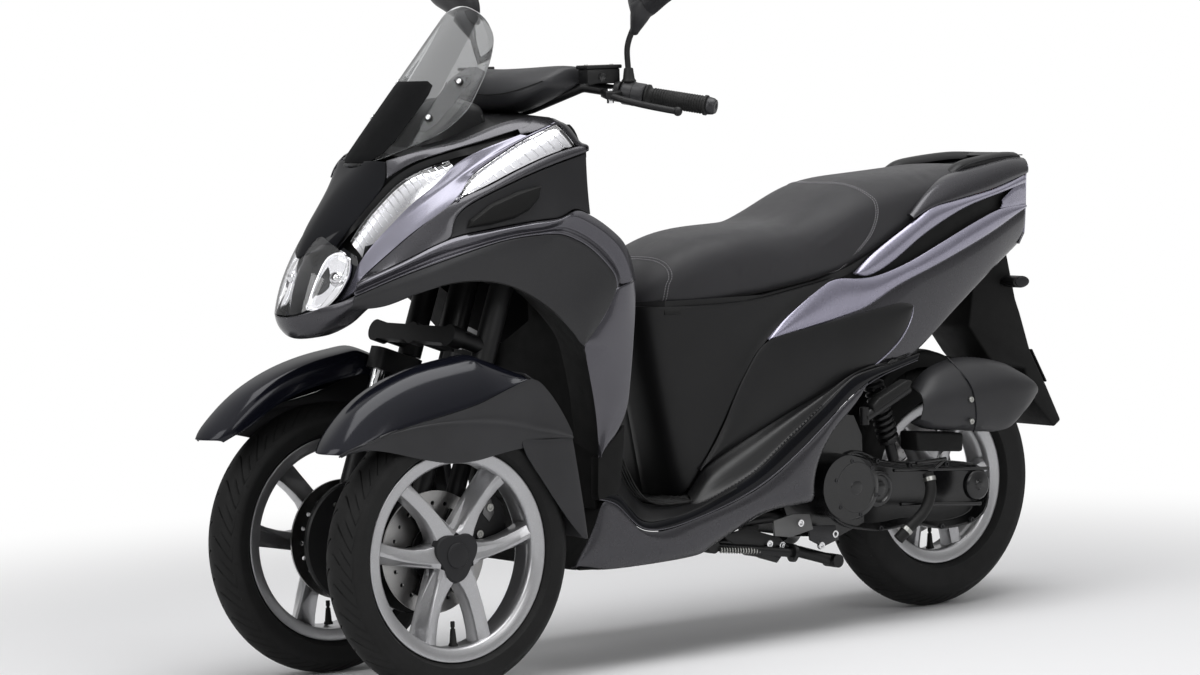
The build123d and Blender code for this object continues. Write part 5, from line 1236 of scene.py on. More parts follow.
piece("plate_carrier", plate_face, MATTE_BLACK, "chassis", rounding=1)
lamp_box = plate([(-858, -34, 512), (-858, 34, 512), (-874, 30, 509), (-874, -30, 509)], (3, 0, 13))
piece("plate_lamp", lamp_box, SATIN_BLACK, "chassis", rounding=2)

# %% [markdown]
# The seat is foam under vinyl. A closed form is lofted through ribs, then filled with pressure in a short
# cloth run, so that the skin swells between its edges as a stuffed cover does. Modelling the swell by
# hand is possible, but the run gives the faint tension that makes foam look like foam.

# %% Seat cushion
SEAT_RIBS = [  # x, half width, foot, top, how square the shoulder is
    (154, 66, 650, 676, 0.5), (142, 84, 650, 700, 0.55), (122, 104, 649, 722, 0.6), (92, 118, 648, 744, 0.66),
    (50, 127, 647, 763, 0.7), (0, 134, 647, 776, 0.72), (-60, 140, 651, 785, 0.74), (-130, 146, 659, 787, 0.74),
    (-196, 150, 668, 788, 0.74), (-230, 152, 674, 800, 0.72), (-272, 154, 681, 820, 0.66),
    (-312, 155, 690, 841, 0.62), (-352, 155, 705, 857, 0.6), (-398, 153, 726, 866, 0.6),
    (-460, 148, 758, 869, 0.62), (-530, 141, 788, 872, 0.66), (-600, 128, 822, 876, 0.66),
    (-660, 115, 849, 880, 0.66), (-712, 101, 860, 878, 0.6), (-752, 86, 861, 868, 0.5)]
rows = []
for x, w, foot, top, square in SEAT_RIBS:
    ring = [(0, 0), (0.62, 0), (0.93, 0.02), (0.985, 0.10), (1.0, 0.30), (0.985, 0.52), (0.94, 0.70),
            (square + 0.12, 0.88), (square - 0.08, 0.965), (square * 0.5, 0.995), (0, 1.0)]
    rows.append([(x, w * u, foot + (top - foot) * v) for u, v in ring])
bm = lofted(rows)
copy = bmesh.ops.duplicate(bm, geom=bm.verts[:] + bm.edges[:] + bm.faces[:])["geom"]
bmesh.ops.scale(bm, vec=(1, -1, 1), verts=[g for g in copy if isinstance(g, bmesh.types.BMVert)])
bmesh.ops.remove_doubles(bm, verts=bm.verts, dist=0.05)
fill_holes(bm)
bmesh.ops.recalc_face_normals(bm, faces=bm.faces)
cushion = piece("seat_foam", bm, SEAT_VINYL, "seat", "seat_vinyl", ["seat_cushion"], smoothing=2, sharp=60)

# %% [markdown]
# The cloth run lifts the skin for twenty frames. Only part of the swell is kept, and never more than a
# few millimetres, so that the seat still fits its base; the underside stays where it was.

# %% Filling the cushion
FILL_FRAMES, FILL_PRESSURE = 20, 4.0
SWELL, LIMIT = 0.45, 0.0035         # share of the swell that is kept, and the most of it in metres
FOOT = 0.655                        # the cushion below this height rests on its base
grid = cushion.modifiers.new("grid", "REMESH")
grid.mode, grid.voxel_size = "VOXEL", 0.006
bake(cushion).shade_smooth()
start = [v.co.copy() for v in cushion.data.vertices]
cloth = cushion.modifiers.new("fill", "CLOTH")
cloth.settings.use_pressure = True
cloth.settings.uniform_pressure_force = FILL_PRESSURE
cloth.settings.effector_weights.gravity = 0.0
cloth.settings.quality = 3
cloth.point_cache.frame_start, cloth.point_cache.frame_end = 1, FILL_FRAMES
for frame_number in range(1, FILL_FRAMES + 1):
    scene.frame_set(frame_number)
bake(cushion).shade_smooth()
scene.frame_set(1)
for v, was in zip(cushion.data.vertices, start):
    move = (v.co - was) * SWELL
    if move.length > LIMIT:
        move = move.normalized() * LIMIT
    if was.z < FOOT or v.normal.z < -0.5:
        move = Vector()
    v.co = was + move
cushion.data.materials.clear()
cushion.data.materials.append(SEAT_VINYL)
calm = cushion.modifiers.new("calm", "SMOOTH")
calm.factor, calm.iterations = 0.5, 6
bake(cushion).shade_smooth()
print("cushion after the cloth run:", len(cushion.data.vertices), "vertices")

# %% [markdown]
# The stitching has to lie on the swollen skin, wherever the cloth run left it. So each seam is drawn in
# the air and cast onto the cushion: the sides towards its middle, the top straight down.

# %% Seams and stitching
SEAT_SKIN = BVHTree.FromObject(cushion, bpy.context.evaluated_depsgraph_get())
THREAD_LIFT = 0.5


def lands(spot, way):
    """Where a ray meets the cushion, a little outside the skin; a list of one point or none."""
    hit, normal, _, _ = SEAT_SKIN.ray_cast(spot, way)
    return [] if hit is None else [(hit + normal * THREAD_LIFT * MM) / MM]


def on_sides(points):
    """Points of a line moved onto the cushion along the way towards its middle."""
    made = []
    for p in points:
        p = Vector(p) * MM
        heart = Vector((p.x, 0, p.z - 0.04 if p.z > 0.7 else p.z))
        way = (heart - p).normalized()
        made += lands(p - way * 0.15, way)
    return made


def on_top(points):
    """Points of a line dropped onto the cushion."""
    made = []
    for x, y, _ in points:
        made += lands(Vector((x, y, 1000)) * MM, Vector((0, 0, -1)))
    return made


def seam_around(side_line, crossing, reach, top_z):
    """A seam up the left side, over the top and down the right side."""
    left = [(x, 175, z) for x, z in side_line]
    over = [(crossing + (side_line[-1][0] - crossing) * (k / 8) ** 2, reach * k / 8, top_z)
            for k in range(8, -9, -1)]
    return left, over, [(x, -y, z) for x, y, z in reversed(left)]


STITCH = 2.4                        # length of a stitch, and of the gap after it
SEAMS = [([(109, 652), (106, 664), (101, 690), (95, 715), (92, 728)], 100, 96, 760),
         ([(-250, 678), (-275, 692), (-302, 709), (-345, 745), (-368, 767), (-382, 790), (-389, 808), (-391, 824)],
          -350, 135, 866)]
stitches = []
for side_line, crossing, reach, top_z in SEAMS:
    stretches = seam_around(side_line, crossing, reach, top_z)
    for shift in (-2.6, 2.6):       # two rows of thread, one on each side of the seam
        left, over, right = ([(x + shift, y, z) for x, y, z in line] for line in stretches)
        path = on_sides(left) + on_top(over) + on_sides(right)
        run = sum((b - a).length for a, b in zip(path, path[1:]))
        dots = even(path, int(run / STITCH))
        stitches += [rod(a, b, 0.75, sides=5) for a, b in zip(dots[::2], dots[1::2])]
piece("seat_stitching", join(*stitches), THREAD, "seat", sharp=80)
dress("seat_base", SATIN_BLACK)
bumper = plate([(112, 106, 634), (82, 118, 634), (82, 118, 644), (112, 106, 644)], (0, 6, 0))
piece("seat_front_bumper", bumper, GRIP_RUBBER, "chassis", rounding=1.5, both_sides=True)

# %% [markdown]
# The drive side. The air cleaner is a soft lid over lines, and the belt case is a plate whose face is
# inset and raised. It could have been one detailed mesh, but ribs, screws and round covers laid on top
# are easier to place, and at this distance they are what tells a casting from a block.

# %% Air cleaner, belt case and engine
LID_LINES = [  # from the inner edge, over the top and down the outer face
    [(-470, 112, 452), (-506, 112, 487), (-567, 112, 506), (-629, 112, 508), (-709, 112, 492), (-771, 112, 455),
     (-795, 112, 432)],
    [(-466, 152, 450), (-506, 152, 486), (-567, 153, 505), (-629, 153, 507), (-709, 152, 491), (-771, 151, 455),
     (-796, 150, 432)],
    [(-458, 180, 438), (-510, 187, 455), (-583, 190, 458), (-650, 189, 469), (-712, 184, 467), (-766, 172, 454),
     (-797, 158, 432)],
    [(-452, 187, 424), (-515, 192, 430), (-590, 194, 432), (-660, 193.5, 440), (-720, 189, 442),
     (-768, 178, 436), (-797, 160, 430)],
    [(-447, 188, 408), (-520, 192, 398), (-600, 193, 384), (-650, 192, 388), (-700, 190, 397),
     (-745, 184, 406), (-797, 160, 427)],
    [(-447, 180, 392), (-500, 180, 372), (-590, 178, 362), (-650, 176, 354), (-709, 174, 354),
     (-762, 167, 394), (-796, 156, 425)],
    [(-450, 112, 388), (-500, 112, 368), (-590, 112, 358), (-650, 112, 351), (-709, 112, 350),
     (-762, 112, 391), (-795, 112, 424)]]
lid = skin([moved(line, (0, -1, 0)) for line in LID_LINES], 34)
fill_holes(lid)
piece("air_cleaner_lid", lid, TRIM_GREY, "chassis", "dark_plastic", ["air_cleaner"], smoothing=1, sharp=32)
seam = [(-570, 140, 507), (-574, 170, 484), (-583, 191, 458), (-590, 194.2, 432), (-598, 193.4, 384),
        (-598, 179, 361)]
piece("air_cleaner_seam", tube(moved(seam, (0, -0.6, 0)), 1.4, 8), GLOSS_BLACK, "chassis")
box = plate([(-460, 114, 372), (-463, 114, 334), (-581, 114, 323), (-583, 114, 360)], (0, 54, 0))
piece("air_cleaner_foot", box, MATTE_BLACK, "chassis", rounding=6, segments=3)
oval = bmesh.new()
bmesh.ops.create_circle(oval, cap_ends=True, segments=32, radius=1)
bmesh.ops.rotate(oval, verts=oval.verts, matrix=Matrix.Rotation(math.radians(90), 3, "X"))
bmesh.ops.scale(oval, verts=oval.verts, vec=(24, 1, 12))
bmesh.ops.translate(oval, verts=oval.verts, vec=(-516, 167.5, 348))
bmesh.ops.inset_region(oval, faces=oval.faces[:], thickness=3, depth=2)
piece("air_cleaner_plug", oval, TRIM_GREY, "chassis", facing=(0, 1, 0), sharp=20)
heads = [bolt_head((-580, 192.5, z), (0, 1, 0.05), 6, 4) for z in (427, 384)]
piece("air_cleaner_screws", join(*heads), ZINC, "chassis", rounding=0.5)

CASE = [(-262, 262), (-285, 300), (-322, 338), (-361, 340), (-407, 320), (-493, 306), (-600, 300), (-668, 284),
        (-692, 250), (-686, 200), (-650, 174), (-568, 168), (-489, 183), (-403, 180), (-318, 196), (-272, 228)]


def cast_cover(outline, inside, outside, step, lip):
    """A cover whose rim stands at inside and whose face is inset and raised to outside."""
    bm = plate(ring_of([(x, inside, z) for x, z in outline], 60), (0, step, 0))
    bm.faces.ensure_lookup_table()
    face = max(bm.faces, key=lambda f: f.calc_center_median().y)
    bmesh.ops.inset_region(bm, faces=[face], thickness=lip, depth=0)
    face = max(bm.faces, key=lambda f: (round(f.calc_center_median().y, 2), len(f.verts)))
    bmesh.ops.inset_region(bm, faces=[face], thickness=7, depth=outside - inside - step)
    return bm


case = cast_cover(CASE, 74, 149, 46, 5)
piece("belt_case", case, ENGINE_BLACK, "chassis", "engine_alloy", ["transmission_case"], rounding=3.5, segments=3,
      sharp=30)
ribs = [rod(start, end, radius, sides=12) for start, end, radius in (
    ((-413, 150, 300), (-662, 150, 282), 3.5), ((-430, 149, 232), (-640, 149, 214), 4),
    ((-520, 150, 294), (-548, 152, 311), 3.5), ((-548, 152, 311), (-470, 152, 309), 3.5))]
piece("belt_case_ribs", join(*ribs), ENGINE_BLACK, "chassis", sharp=60)
rounds = [spun_across(line, centre, steps) for line, centre, steps in (
    ([(62, 118), (62, 164), (58, 170), (48, 172.5), (46, 170.5), (16, 170.5), (13, 173), (0.5, 173)],
     (-298, 0, 278), 72),
    ([(36, 140), (36, 156), (33, 160), (27, 161), (25, 157), (15, 157), (13, 163), (4, 164), (0.5, 164)],
     (-367, 0, 269), 56),
    ([(30, 140), (30, 151), (26, 154), (10, 154), (8, 158), (0.5, 158)], (REAR_X, 0, 252), 48))]
piece("engine_round_covers", join(*rounds), ENGINE_BLACK, "chassis", rounding=0.8, sharp=28)
screws = [bolt_head((x, 119.5, z), (0, 1, 0), 5.5, 6) for x, z in (
    (-292, 332), (-395, 318), (-480, 302), (-575, 296), (-655, 282), (-682, 236), (-640, 180), (-560, 174),
    (-480, 190), (-400, 186))]
for a in range(20, 380, 60):
    spot = (-298 + 53 * math.cos(math.radians(a)), 171, 278 + 53 * math.sin(math.radians(a)))
    screws.append(bolt_head(spot, (0, 1, 0), 4.5, 2.5))
piece("case_screws", join(*screws), DARK_METAL, "chassis", rounding=0.4)
pipe = even([(-494, 158, 288), (-495, 166, 262), (-488, 168, 238), (-470, 168, 212), (-433, 166, 186),
             (-412, 160, 166)], 14)
piece("breather_pipe", tube(pipe, 11, 16), GRIP_RUBBER, "chassis", sharp=60)
clips = [spun([(11.6, -4), (12.6, -4), (12.6, 4), (11.6, 4), (11.6, -4)], pipe[k], pipe[k + 1] - pipe[k], 24)
         for k in (1, 11)]
piece("breather_clips", join(*clips), ZINC, "chassis")
dress("engine_block", ENGINE_BLACK)
fins = [plate([(x, -74, 296), (x, 74, 296), (x, 74, 378), (x, -74, 378)], (-2.6, 0, 0))
        for x in range(-76, -197, -8)]
piece("cylinder_fins", join(*fins), CAST_ALLOY, "chassis", sharp=40)

# %% [markdown]
# Two sprung legs hold the rear arm. Each is a turned body with a wire coil round it, set out from the
# lower eye along the leg, so one profile serves both lengths. The silencer is turned the same way.

# %% Springs, silencer and wheel guard
for tag, low, high, ring, wire, turns in (("left", (-430, 132, 318), (-366, 132, 524), 19, 4.6, 9),
                                          ("right", (-575, -80, 284), (-500, -80, 572), 15, 4.2, 12)):
    low, high = Vector(low), Vector(high)
    way, length = (high - low).normalized(), (high - low).length
    spring = coil(low + way * 44, high - way * 62, ring, wire, turns)
    piece(f"shock_spring_{tag}", spring, SATIN_BLACK, "chassis", "black_casting",
          ["rear_shocks"] if tag == "left" else (), sharp=60)
    body = spun([(0.5, 0), (11, 0), (11, 34), (20, 38), (20, 44), (12.5, 46), (12.5, length * 0.55),
                 (7, length * 0.56), (7, length - 66), (20, length - 62), (20, length - 56), (14, length - 52),
                 (14, length - 20), (10, length - 8), (0.5, length)], low, way, 32)
    piece(f"shock_body_{tag}", body, CAST_BLACK, "chassis", sharp=35)

start, end = Vector((-470, -165, 262)), Vector((-840, -172, 338))
way, run = (end - start).normalized(), (end - start).length
can = spun([(0.5, 0), (26, 1), (44, 8), (55, 22), (58, 40), (58, run - 46), (56, run - 36), (52, run - 14),
            (44, run - 3), (40, run), (30, run + 1), (27, run + 18), (26, run + 40), (21, run + 41), (20, run + 20),
            (0.5, run + 20)], start, way, 72)
piece("silencer", can, MUFFLER_BLACK, "chassis", "muffler_black", ["muffler"], rounding=0.8, sharp=28)
path = even([(-300, -60, 170), (-350, -92, 156), (-400, -130, 172), (-440, -156, 216), (-474, -165, 262)], 14)
piece("exhaust_pipe", join(tube(path, 16, 20), rod((-560, -132, 262), (-560, -96.5, 262), 12)), MUFFLER_BLACK,
      "chassis", sharp=60)
shield = spun([(60.5, 70), (60.5, run - 90)], start, way, 30, turn=150, start=(0, -0.35, 1))
piece("silencer_shield", shield, CHROME, "chassis", wall=1.5, rounding=0.5, facing=(0, -1, 0))
bands = [spun([(59, a), (61.5, a + 1), (61.5, a + 11), (59, a + 12), (59, a)], start, way, 64)
         for a in (34, run - 74)]
piece("silencer_bands", join(*bands), MUFFLER_BLACK, "chassis", sharp=30)
guard = [[(x, w, z - 34), (x, w * 0.92, z - 8), (x, w * 0.6, z), (x, 0, z + 2)] for x, z, w in (
    (-460, 470, 70), (-500, 506, 66), (-560, 522, 62), (-620, 516, 60), (-660, 500, 56))]
piece("wheel_guard", skin(guard, 10), MATTE_BLACK, "chassis", wall=3, smoothing=1, facing=(0, 0, 1),
      both_sides=True)

# %% [markdown]
# Under the floor. The stands, their springs and the engine mount are small, but they break the outline
# below the skirt, and the few bare-metal parts there are the brightest things in the shadow.

# %% Stand and mount details
mount = plate([(-102, 152, 232), (-150, 152, 240), (-192, 152, 236), (-200, 152, 206), (-143, 152, 196),
               (-104, 152, 202)], (0, 5, 0))
piece("engine_mount_plate", mount, CAST_ALLOY, "chassis", rounding=1.5, both_sides=True)
hanger = plate([(19, 148, 214), (-37, 148, 224), (-120, 148, 198), (-142, 148, 178), (-112, 148, 150),
                (-68, 148, 164), (-8, 148, 196)], (0, 4, 0))
piece("stand_hanger", hanger, FRAME_BLACK, "chassis", rounding=1.2)
heads = [bolt_head((x, y, z), (0, 1, 0), 8, 6) for x, y, z in
         ((-91, 152, 189), (-122, 152, 183), (-165, 157, 222), (-225, 146, 172), (-265, 140, 190))]
piece("mount_bolts", join(*heads), CHROME, "chassis", rounding=0.6)
piece("mount_arm", plate([(-196, 142, 212), (-268, 138, 206), (-276, 138, 178), (-232, 142, 168),
                          (-200, 142, 184)], (0, 5, 0)), DARK_METAL, "chassis", rounding=1.5)
stand_spring = coil((30, 152, 190), (-70, 158, 178), 6, 1.5, 16)
piece("side_stand_spring", stand_spring, ZINC, "side_stand", sharp=60)
PAD = [(-334, 421), (-424, 459), (-434, 474), (-420, 478), (-346, 447), (-330, 434)]
for side, sign in SIDES:
    pad = plate([(x, sign * 190, z) for x, z in PAD], (0, sign * -26, 0))
    piece(f"peg_pad_{side}", pad, GRIP_RUBBER, f"pillion_peg_{side}", rounding=4, segments=3)

# %% [markdown]
# The windscreen is one bent sheet. Its surface is written as a small rule: a straight rise, bent back
# towards the sides. Everything that touches it, the dark mask, the brackets and the screws, uses the same
# rule, so nothing floats off the glass.

# %% Windscreen
def on_screen(y, z, back=0.0):
    """A point of the screen's outer face at this width and height, or behind it by back."""
    bow = 62 * (y / 128) ** 2
    s = (z - 953 + 0.672 * bow) / 0.740
    return Vector((716 - 0.672 * s - 0.740 * bow - back * 0.74, y, z - back * 0.672))


SCREEN_EDGE = [(24, 937), (44, 944), (70, 956), (100, 976), (119, 998), (128, 1030), (126, 1060), (120, 1100),
               (111, 1134), (98, 1163), (78, 1187), (56, 1203), (34, 1212)]      # half width, height
wide = even([(0, y, z) for y, z in SCREEN_EDGE], 40)
rows = [[on_screen(p.y * k / 9, p.z) for k in range(-9, 10)] for p in wide[:-1]]
rows.append([on_screen(wide[-1].y * k / 9, wide[-1].z + 6 * (1 - (k / 9) ** 2)) for k in range(-9, 10)])
piece("screen_glass", lofted(rows), SMOKE, "chassis", "smoke_screen", ["windscreen"], wall=4, rounding=1.2,
      facing=(1, 0, 0.5), segments=3, sharp=40)
mask = [[on_screen(y * w, z, -0.8) for y in (-1, -0.6, -0.2, 0.2, 0.6, 1)] for z, w in
        ((942, 40), (958, 56), (985, 62), (1030, 64), (1060, 64), (1076, 60), (1084, 46))]
piece("screen_mask", skin(mask, 14), MASK_BLACK, "chassis", wall=2.5, rounding=0.8, facing=(1, 0, 0.5))
BRACKET = [(84, 92, 1000), (76, 100, 1012), (74, 104, 1050), (76, 106, 1084), (84, 102, 1095)]
for side, sign in SIDES:
    strip = skin([[on_screen(sign * y, z, 6) for y in (a, (a + b) / 2, b)] for a, b, z in BRACKET], 8)
    piece(f"screen_bracket_{side}", strip, VENT_GREY, "chassis", wall=2.5, rounding=0.8,
          facing=(1, 0, 0.5))
    heads, cushions = [], []
    for y, z in ((96, 1081), (88, 1019)):
        spot = on_screen(sign * y, z)
        out = Vector((0.74, sign * 0.5, 0.45)).normalized()
        heads.append(bolt_head(spot + out * 1.5, out, 5, 3))
        cushions.append(rod(spot - out * 7, spot + out * 2, 7, sides=20))
    piece(f"screen_screws_{side}", join(*heads), CHROME, "chassis", rounding=0.4)
    piece(f"screen_grommets_{side}", join(*cushions), GRIP_RUBBER, "chassis", rounding=0.8)

# %% [markdown]
# Behind the screen sits the meter under its hood, and behind that the padded cover of the bar, which
# turns with it. Both are lofts with soft corners, as soft-looking covers are moulded.

# %% Meter hood and bar cover
hood = [[(x, 0, z), (x, w * 0.4, z - 1), (x, w * 0.72, z - 6), (x, w * 0.93, z - 20), (x - 2, w, z - 20 - drop)]
        for x, z, w, drop in ((672, 950, 70, 16), (640, 984, 84, 26), (600, 1024, 90, 44), (566, 1048, 92, 60),
                              (524, 1055, 92, 70), (492, 1044, 90, 72))]
piece("hood_shell", skin(hood, 12), SATIN_BLACK, "chassis", "dark_plastic", ["meter_hood"], wall=3,
      rounding=1.5, smoothing=1, facing=(0, 0, 1), both_sides=True)
face = [[(500, y, 1030), (486, y, 986)] for y in (-80, -40, 0, 40, 80)]
piece("meter_face", skin(face, 6), GAUGE, "chassis", wall=2, facing=(-1, 0, 0.4))
rim = tube([(500, -80, 1031), (500, 80, 1031), (496, 86, 1010), (486, 80, 986), (486, -80, 986), (496, -86, 1010)],
           4, 10, cyclic=True)
piece("meter_rim", rim, SATIN_BLACK, "chassis", sharp=60)
buttons = [rod((485, y, 984), (479, y, 982), 6, sides=16) for y in (-58, 58)]
piece("meter_buttons", join(*buttons), GRIP_RUBBER, "chassis", rounding=1)

COVER = {  # distance from the middle: the cover's section there, as x, z
    0: [(446, 1028), (455, 1056), (440, 1088), (405, 1099), (362, 1098), (336, 1082), (331, 1052), (380, 1018)],
    50: [(445, 1028), (453, 1054), (436, 1088), (401, 1100), (358, 1098), (334, 1083), (332, 1054), (378, 1018)],
    92: [(438, 1036), (445, 1057), (424, 1085), (390, 1101), (350, 1100), (330, 1086), (328, 1062), (372, 1030)],
    125: [(424, 1050), (428, 1066), (408, 1086), (376, 1103), (334, 1102), (316, 1090), (318, 1070), (362, 1046)],
    150: [(404, 1066), (406, 1077), (390, 1090), (352, 1104), (312, 1099), (304, 1090), (310, 1078), (350, 1062)],
    158: [(392, 1072), (394, 1078), (380, 1088), (348, 1098), (316, 1095), (310, 1089), (315, 1081), (348, 1068)]}
bm = skin([[(x, y, z) for x, z in ring + ring[:1]] for y, ring in COVER.items()], 25)
bmesh.ops.remove_doubles(bm, verts=bm.verts, dist=0.05)
fill_holes(bm, lambda v: v.co.y > 154)      # the outer end only; the two halves meet in the middle
piece("bar_cover", bm, TRIM_GREY, "steering", "dark_plastic", ["handlebar_cover"], smoothing=1, sharp=50,
      both_sides=True)
crease = even([(455, 2, 1057), (453.5, 50, 1055), (445.5, 92, 1058), (428.5, 125, 1067), (406.5, 150, 1078)], 16)
piece("bar_cover_seam", tube(crease, 1.1, 6), MATTE_BLACK, "steering", both_sides=True)

# %% [markdown]
# Facing the rider, a dark inner panel closes the nose above the leg shield. It bows towards the knees and
# carries a lidded pocket and the ignition lock, so the steering column is hidden but free to turn.

# %% Inner panel, pocket lid and lock
INNER = [(341, 341, 181, 833), (336, 344, 184, 860), (330, 348, 187, 900), (327, 350, 188, 940),
         (330, 351, 180, 972), (338, 352, 168, 990), (347, 353, 156, 998)]


def inner_spot(share, level, out=0.0):
    """A point of the inner panel, by share of its half width and level up its rows."""
    k = min(int(level), len(INNER) - 2)
    middle, side, half_width, z = (a + (b - a) * (level - k) for a, b in zip(INNER[k], INNER[k + 1]))
    return side - (side - middle) * (1 - share * share) - out, half_width * share, z


panel = [[inner_spot(c / 6, r) for c in range(-6, 7)] for r in range(len(INNER))]
piece("inner_panel", skin(panel, 19), MATTE_BLACK, "chassis", facing=(-1, 0, 0), **SHEET)
pocket = [[inner_spot(0.28 + 0.5 * c / 4, 0.9 + 2.1 * r / 3, 2.4) for c in range(5)] for r in range(4)]
piece("pocket_lid", skin(pocket, 9), SATIN_BLACK, "chassis", wall=2.5, rounding=1.2, smoothing=1,
      facing=(-1, 0, 0), keep_corners=False)
lock_x, lock_y, lock_z = inner_spot(-0.45, 3.0)
lock = join(rod((lock_x + 6, lock_y, lock_z), (lock_x - 6, lock_y, lock_z + 1), 19, 17),
            rod((lock_x - 5, lock_y, lock_z + 1), (lock_x - 9, lock_y, lock_z + 1.5), 12))
piece("ignition_lock", lock, SATIN_BLACK, "chassis", rounding=1.0)
face = rod((lock_x - 8.5, lock_y, lock_z + 1.5), (lock_x - 10, lock_y, lock_z + 1.7), 8)
piece("ignition_lock_face", face, ZINC, "chassis", rounding=0.4)

# %% [markdown]
# Grips, switches and levers sit on one straight stretch of the bar, so each is set out by its distance
# from the bar's end. The grip is turned with rings and flutes, because a smooth cylinder would look like
# bare tube.

# %% Hand controls
GRIP_OUT, BAR_WAY = Vector((187, 355.5, 1025)), Vector((-0.524, 0.835, -0.167)).normalized()


def on_bar(back, sign, forward=0.0, up=0.0):
    """A point on the bar at this distance from its end, moved forward and up."""
    spot = GRIP_OUT - BAR_WAY * back + Vector((forward, 0, up))
    return Vector((spot.x, sign * spot.y, spot.z))


def turned(profile, sign, steps=40):
    """A profile turned about the bar, set out from the inner end of the grip."""
    return spun(profile, on_bar(122, sign), (on_bar(0, sign) - on_bar(10, sign)).normalized(), steps)


def flattened(bm, sign):
    """The switch housing is flatter on top and below than round."""
    for v in bm.verts:
        v.co.z -= 0.12 * (v.co - on_bar(142, sign)).z
    return bm


def hand_controls(side, sign):
    """Grip, switches, lever and brake reservoir of one side."""
    grip = turned([(11.4, 0), (20, 0), (21.5, 1.5), (21.5, 4.5), (18, 7), (15.6, 10), (15.6, 34), (16.4, 60),
                   (15.6, 100), (16, 110), (18.4, 112), (18.4, 116), (16, 118), (11.4, 118)], sign, 48)
    piece(f"grip_{side}", grip, GRIP_RUBBER, "steering", "grip_rubber", ["hand_controls"] if sign > 0 else (),
          sharp=40)
    flutes = [turned([(15.4, t), (16.9, t + 0.7), (16.9, t + 1.6), (15.4, t + 2.3)], sign)
              for t in range(14, 108, 5)]
    piece(f"grip_ribs_{side}", join(*flutes), GRIP_RUBBER, "steering", sharp=40)
    end = turned([(8, 118), (15.6, 118), (16.2, 120), (15, 128), (12.4, 133), (6, 134), (5, 131), (0.5, 131)], sign)
    piece(f"bar_end_{side}", end, DARK_METAL, "steering", rounding=0.4)
    house = turned([(11.4, -46), (21.5, -46), (24, -43), (24.5, -24), (24, -4), (21, -1), (11.4, -1)], sign)
    blocks = [rod(on_bar(140, sign, -20, 4), on_bar(140, sign, -29, 6), 7, 6, 20),
              rod(on_bar(152, sign, -18, -8), on_bar(152, sign, -26, -11), 5.5, 5, 20)]
    piece(f"switch_housing_{side}", flattened(house, sign), TRIM_GREY, "steering", rounding=1.2, sharp=30)
    piece(f"switch_buttons_{side}", join(*blocks), GRIP_RUBBER, "steering", rounding=1)
    seam = turned([(24.6, -24.8), (25, -24.6), (25, -23.8), (24.6, -23.6)], sign)
    piece(f"switch_seam_{side}", flattened(seam, sign), GRIP_RUBBER, "steering")
    perch = rod(on_bar(171, sign), on_bar(184, sign), 19, sides=32)
    arm = plate([on_bar(190, sign, 8, -9), on_bar(150, sign, 14, -9), on_bar(138, sign, 52, -9),
                 on_bar(150, sign, 60, -9), on_bar(178, sign, 40, -9)], (0, 0, 15))
    piece(f"lever_perch_{side}", join(perch, arm), CAST_BLACK, "steering", rounding=2.5, segments=3)
    lever = tube([on_bar(152, sign, 48, -3), on_bar(128, sign, 56, -4), on_bar(96, sign, 58, -8),
                  on_bar(52, sign, 50, -11), on_bar(26, sign, 46, -12)], 6, 14)
    knob = ball(on_bar(24, sign, 46, -12), 8.4, 20, 12)
    piece(f"lever_{side}", join(lever, knob), CAST_BLACK, "steering", sharp=50)
    pin = bolt_head(on_bar(152, sign, 48, 6), (0, 0, 1), 7, 4)
    nut = rod(on_bar(152, sign, 48, -16), on_bar(152, sign, 48, -8), 6.5, sides=6)
    piece(f"lever_pin_{side}", join(pin, nut), CHROME, "steering", rounding=0.4)
    top = on_bar(196, sign, 18, 26)
    box, lid = (plate([top + Vector((x, sign * y, z)) for x, y in corners], (0, 0, tall))
                for corners, z, tall in ((((-30, 20), (34, 8), (34, -22), (-30, -12)), -14, 27),
                                         (((-33, 23), (37, 10), (37, -25), (-33, -15)), 13, 7)))
    piece(f"brake_reservoir_{side}", join(box, lid), SATIN_BLACK, "steering", rounding=2, segments=3)
    glass = rod(top + Vector((6, sign * 12, -2)), top + Vector((6, sign * 17, -2)), 8, sides=28)
    piece(f"reservoir_window_{side}", glass, CLEAR_LENS, "steering", rounding=1)
    screws = [bolt_head(top + Vector((dx, sign * dy, 20)), (0, 0, 1), 3.4, 1.2) for dx, dy in ((-22, 5), (26, -8))]
    piece(f"reservoir_screws_{side}", join(*screws), ZINC, "steering")

# %% [markdown]
# A mirror is a rubber boot, a bent stem and a shell whose rim is one closed line. The shell shrinks
# towards its back in steps, and the glass fills the same line a little smaller, so the two always fit.

# %% Mirrors
MIRROR_VIEW = [(-74, -40), (-30, -36), (20, -14), (62, 6), (84, 40), (60, 62), (0, 53), (-48, 42), (-80, 6)]
SHELL_STEPS = [(0, 0.94), (-1.5, 0.99), (4, 1.0), (13, 0.93), (21, 0.76), (26, 0.5), (27, 0.2)]   # depth, size


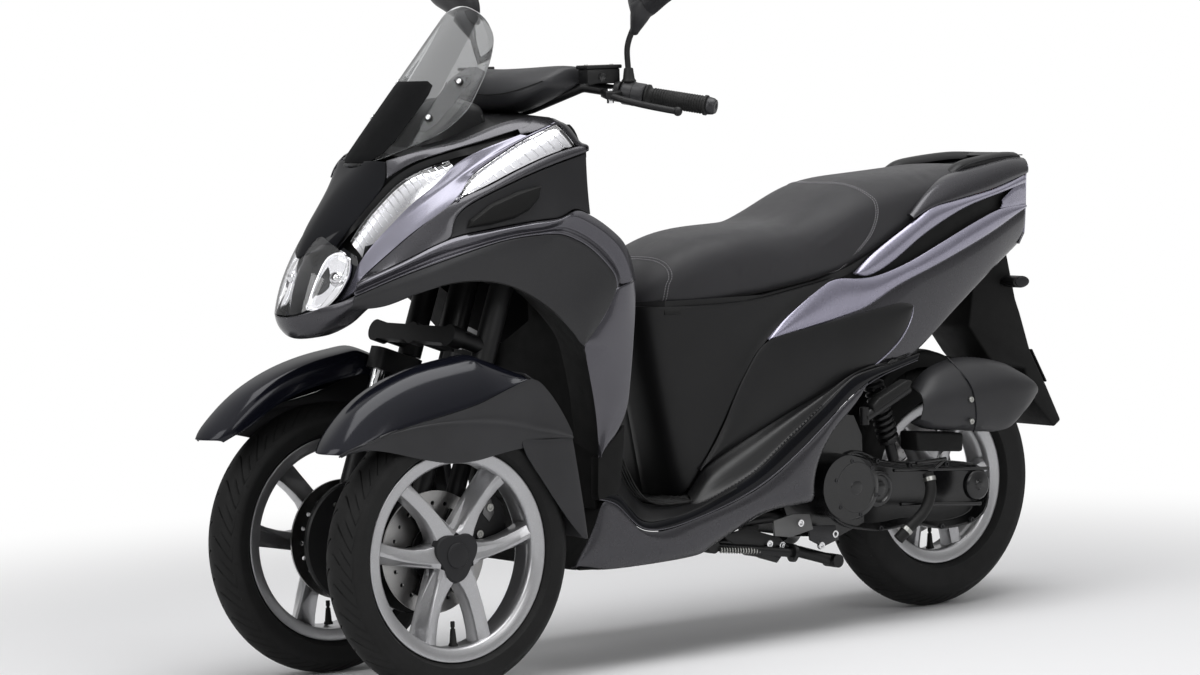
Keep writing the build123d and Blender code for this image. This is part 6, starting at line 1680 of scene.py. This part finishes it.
def mirror(side, sign):
    """One mirror on its stem."""
    foot = on_bar(156, sign, 0, 20)
    boot = spun([(13, 0), (13.5, 3), (11, 6), (8.5, 24), (7, 26), (5, 26)], foot, (0, 0, 1), 28)
    piece(f"mirror_boot_{side}", boot, GRIP_RUBBER, "steering", sharp=40)
    stem = tube([foot + Vector((x, sign * y, z)) for x, y, z in
                 ((0, 0, 0), (0, 0, 28), (8, 4, 52), (10, 14, 80), (0, 36, 118))], 5.4, 14)
    piece(f"mirror_stem_{side}", stem, SATIN_BLACK, "steering", "dark_plastic", ["mirrors"] if sign > 0 else (),
          sharp=60)
    head = foot + Vector((-4, sign * 88, 151.4))
    ring = ring_of([(0, sign * w, h) for w, h in MIRROR_VIEW], 40)
    centre = sum(ring, Vector()) / len(ring)

    def rim_spot(p, depth, size):
        """A point of the rim's line, moved back and drawn in towards the middle."""
        return head + Vector((depth + p.z * 0.1, 0, 0)) + centre + (p - centre) * size

    bm = lofted([[rim_spot(p, depth, size) for p in ring + ring[:1]] for depth, size in SHELL_STEPS])
    bmesh.ops.remove_doubles(bm, verts=bm.verts, dist=0.05)
    fill_holes(bm, lambda v: v.co.x > head.x + 18)      # its back; the glass closes the front
    piece(f"mirror_shell_{side}", bm, TRIM_GREY, "steering", smoothing=1, sharp=50)
    bm = bmesh.new()
    bmesh.ops.create_circle(bm, cap_ends=True, segments=40, radius=1)
    bm.verts.ensure_lookup_table()
    for v, p in zip(bm.verts, ring):
        v.co = rim_spot(p, 0.6, 0.95)
    piece(f"mirror_glass_{side}", bm, MIRROR_GLASS, "steering", facing=(-1, 0, 0))
    neck = spun([(5.5, -6), (7.5, -4), (10, 6), (16, 26), (22, 50), (12, 66)], foot + Vector((4, sign * 26, 92)),
                Vector((0.05, sign * 0.55, 0.8)), 28)
    piece(f"mirror_neck_{side}", neck, TRIM_GREY, "steering", sharp=60)


for side, sign in SIDES:
    hand_controls(side, sign)
    mirror(side, sign)

# %% [markdown]
# Castings, tubes and pins whose CAD shape is already right stay as they are and only get a finish.

# %% Finishes for the parts that stay
STAYS = {
    FRAME_BLACK: ["head_frame", "frame_rails", "rear_arm", "centre_stand", "side_stand", "steering_stem"],
    CAST_BLACK: ["link_arms", "side_posts", "tie_rod", "fork_yoke_left", "fork_yoke_right"],
    SATIN_BLACK: ["handlebar", "storage_bin", "pillion_peg_left", "pillion_peg_right", "seat_base"],
}
for look, nodes in STAYS.items():
    for node in nodes:
        dress(node, look)
print("kept", sum(len(nodes) for nodes in STAYS.values()), "CAD nodes")
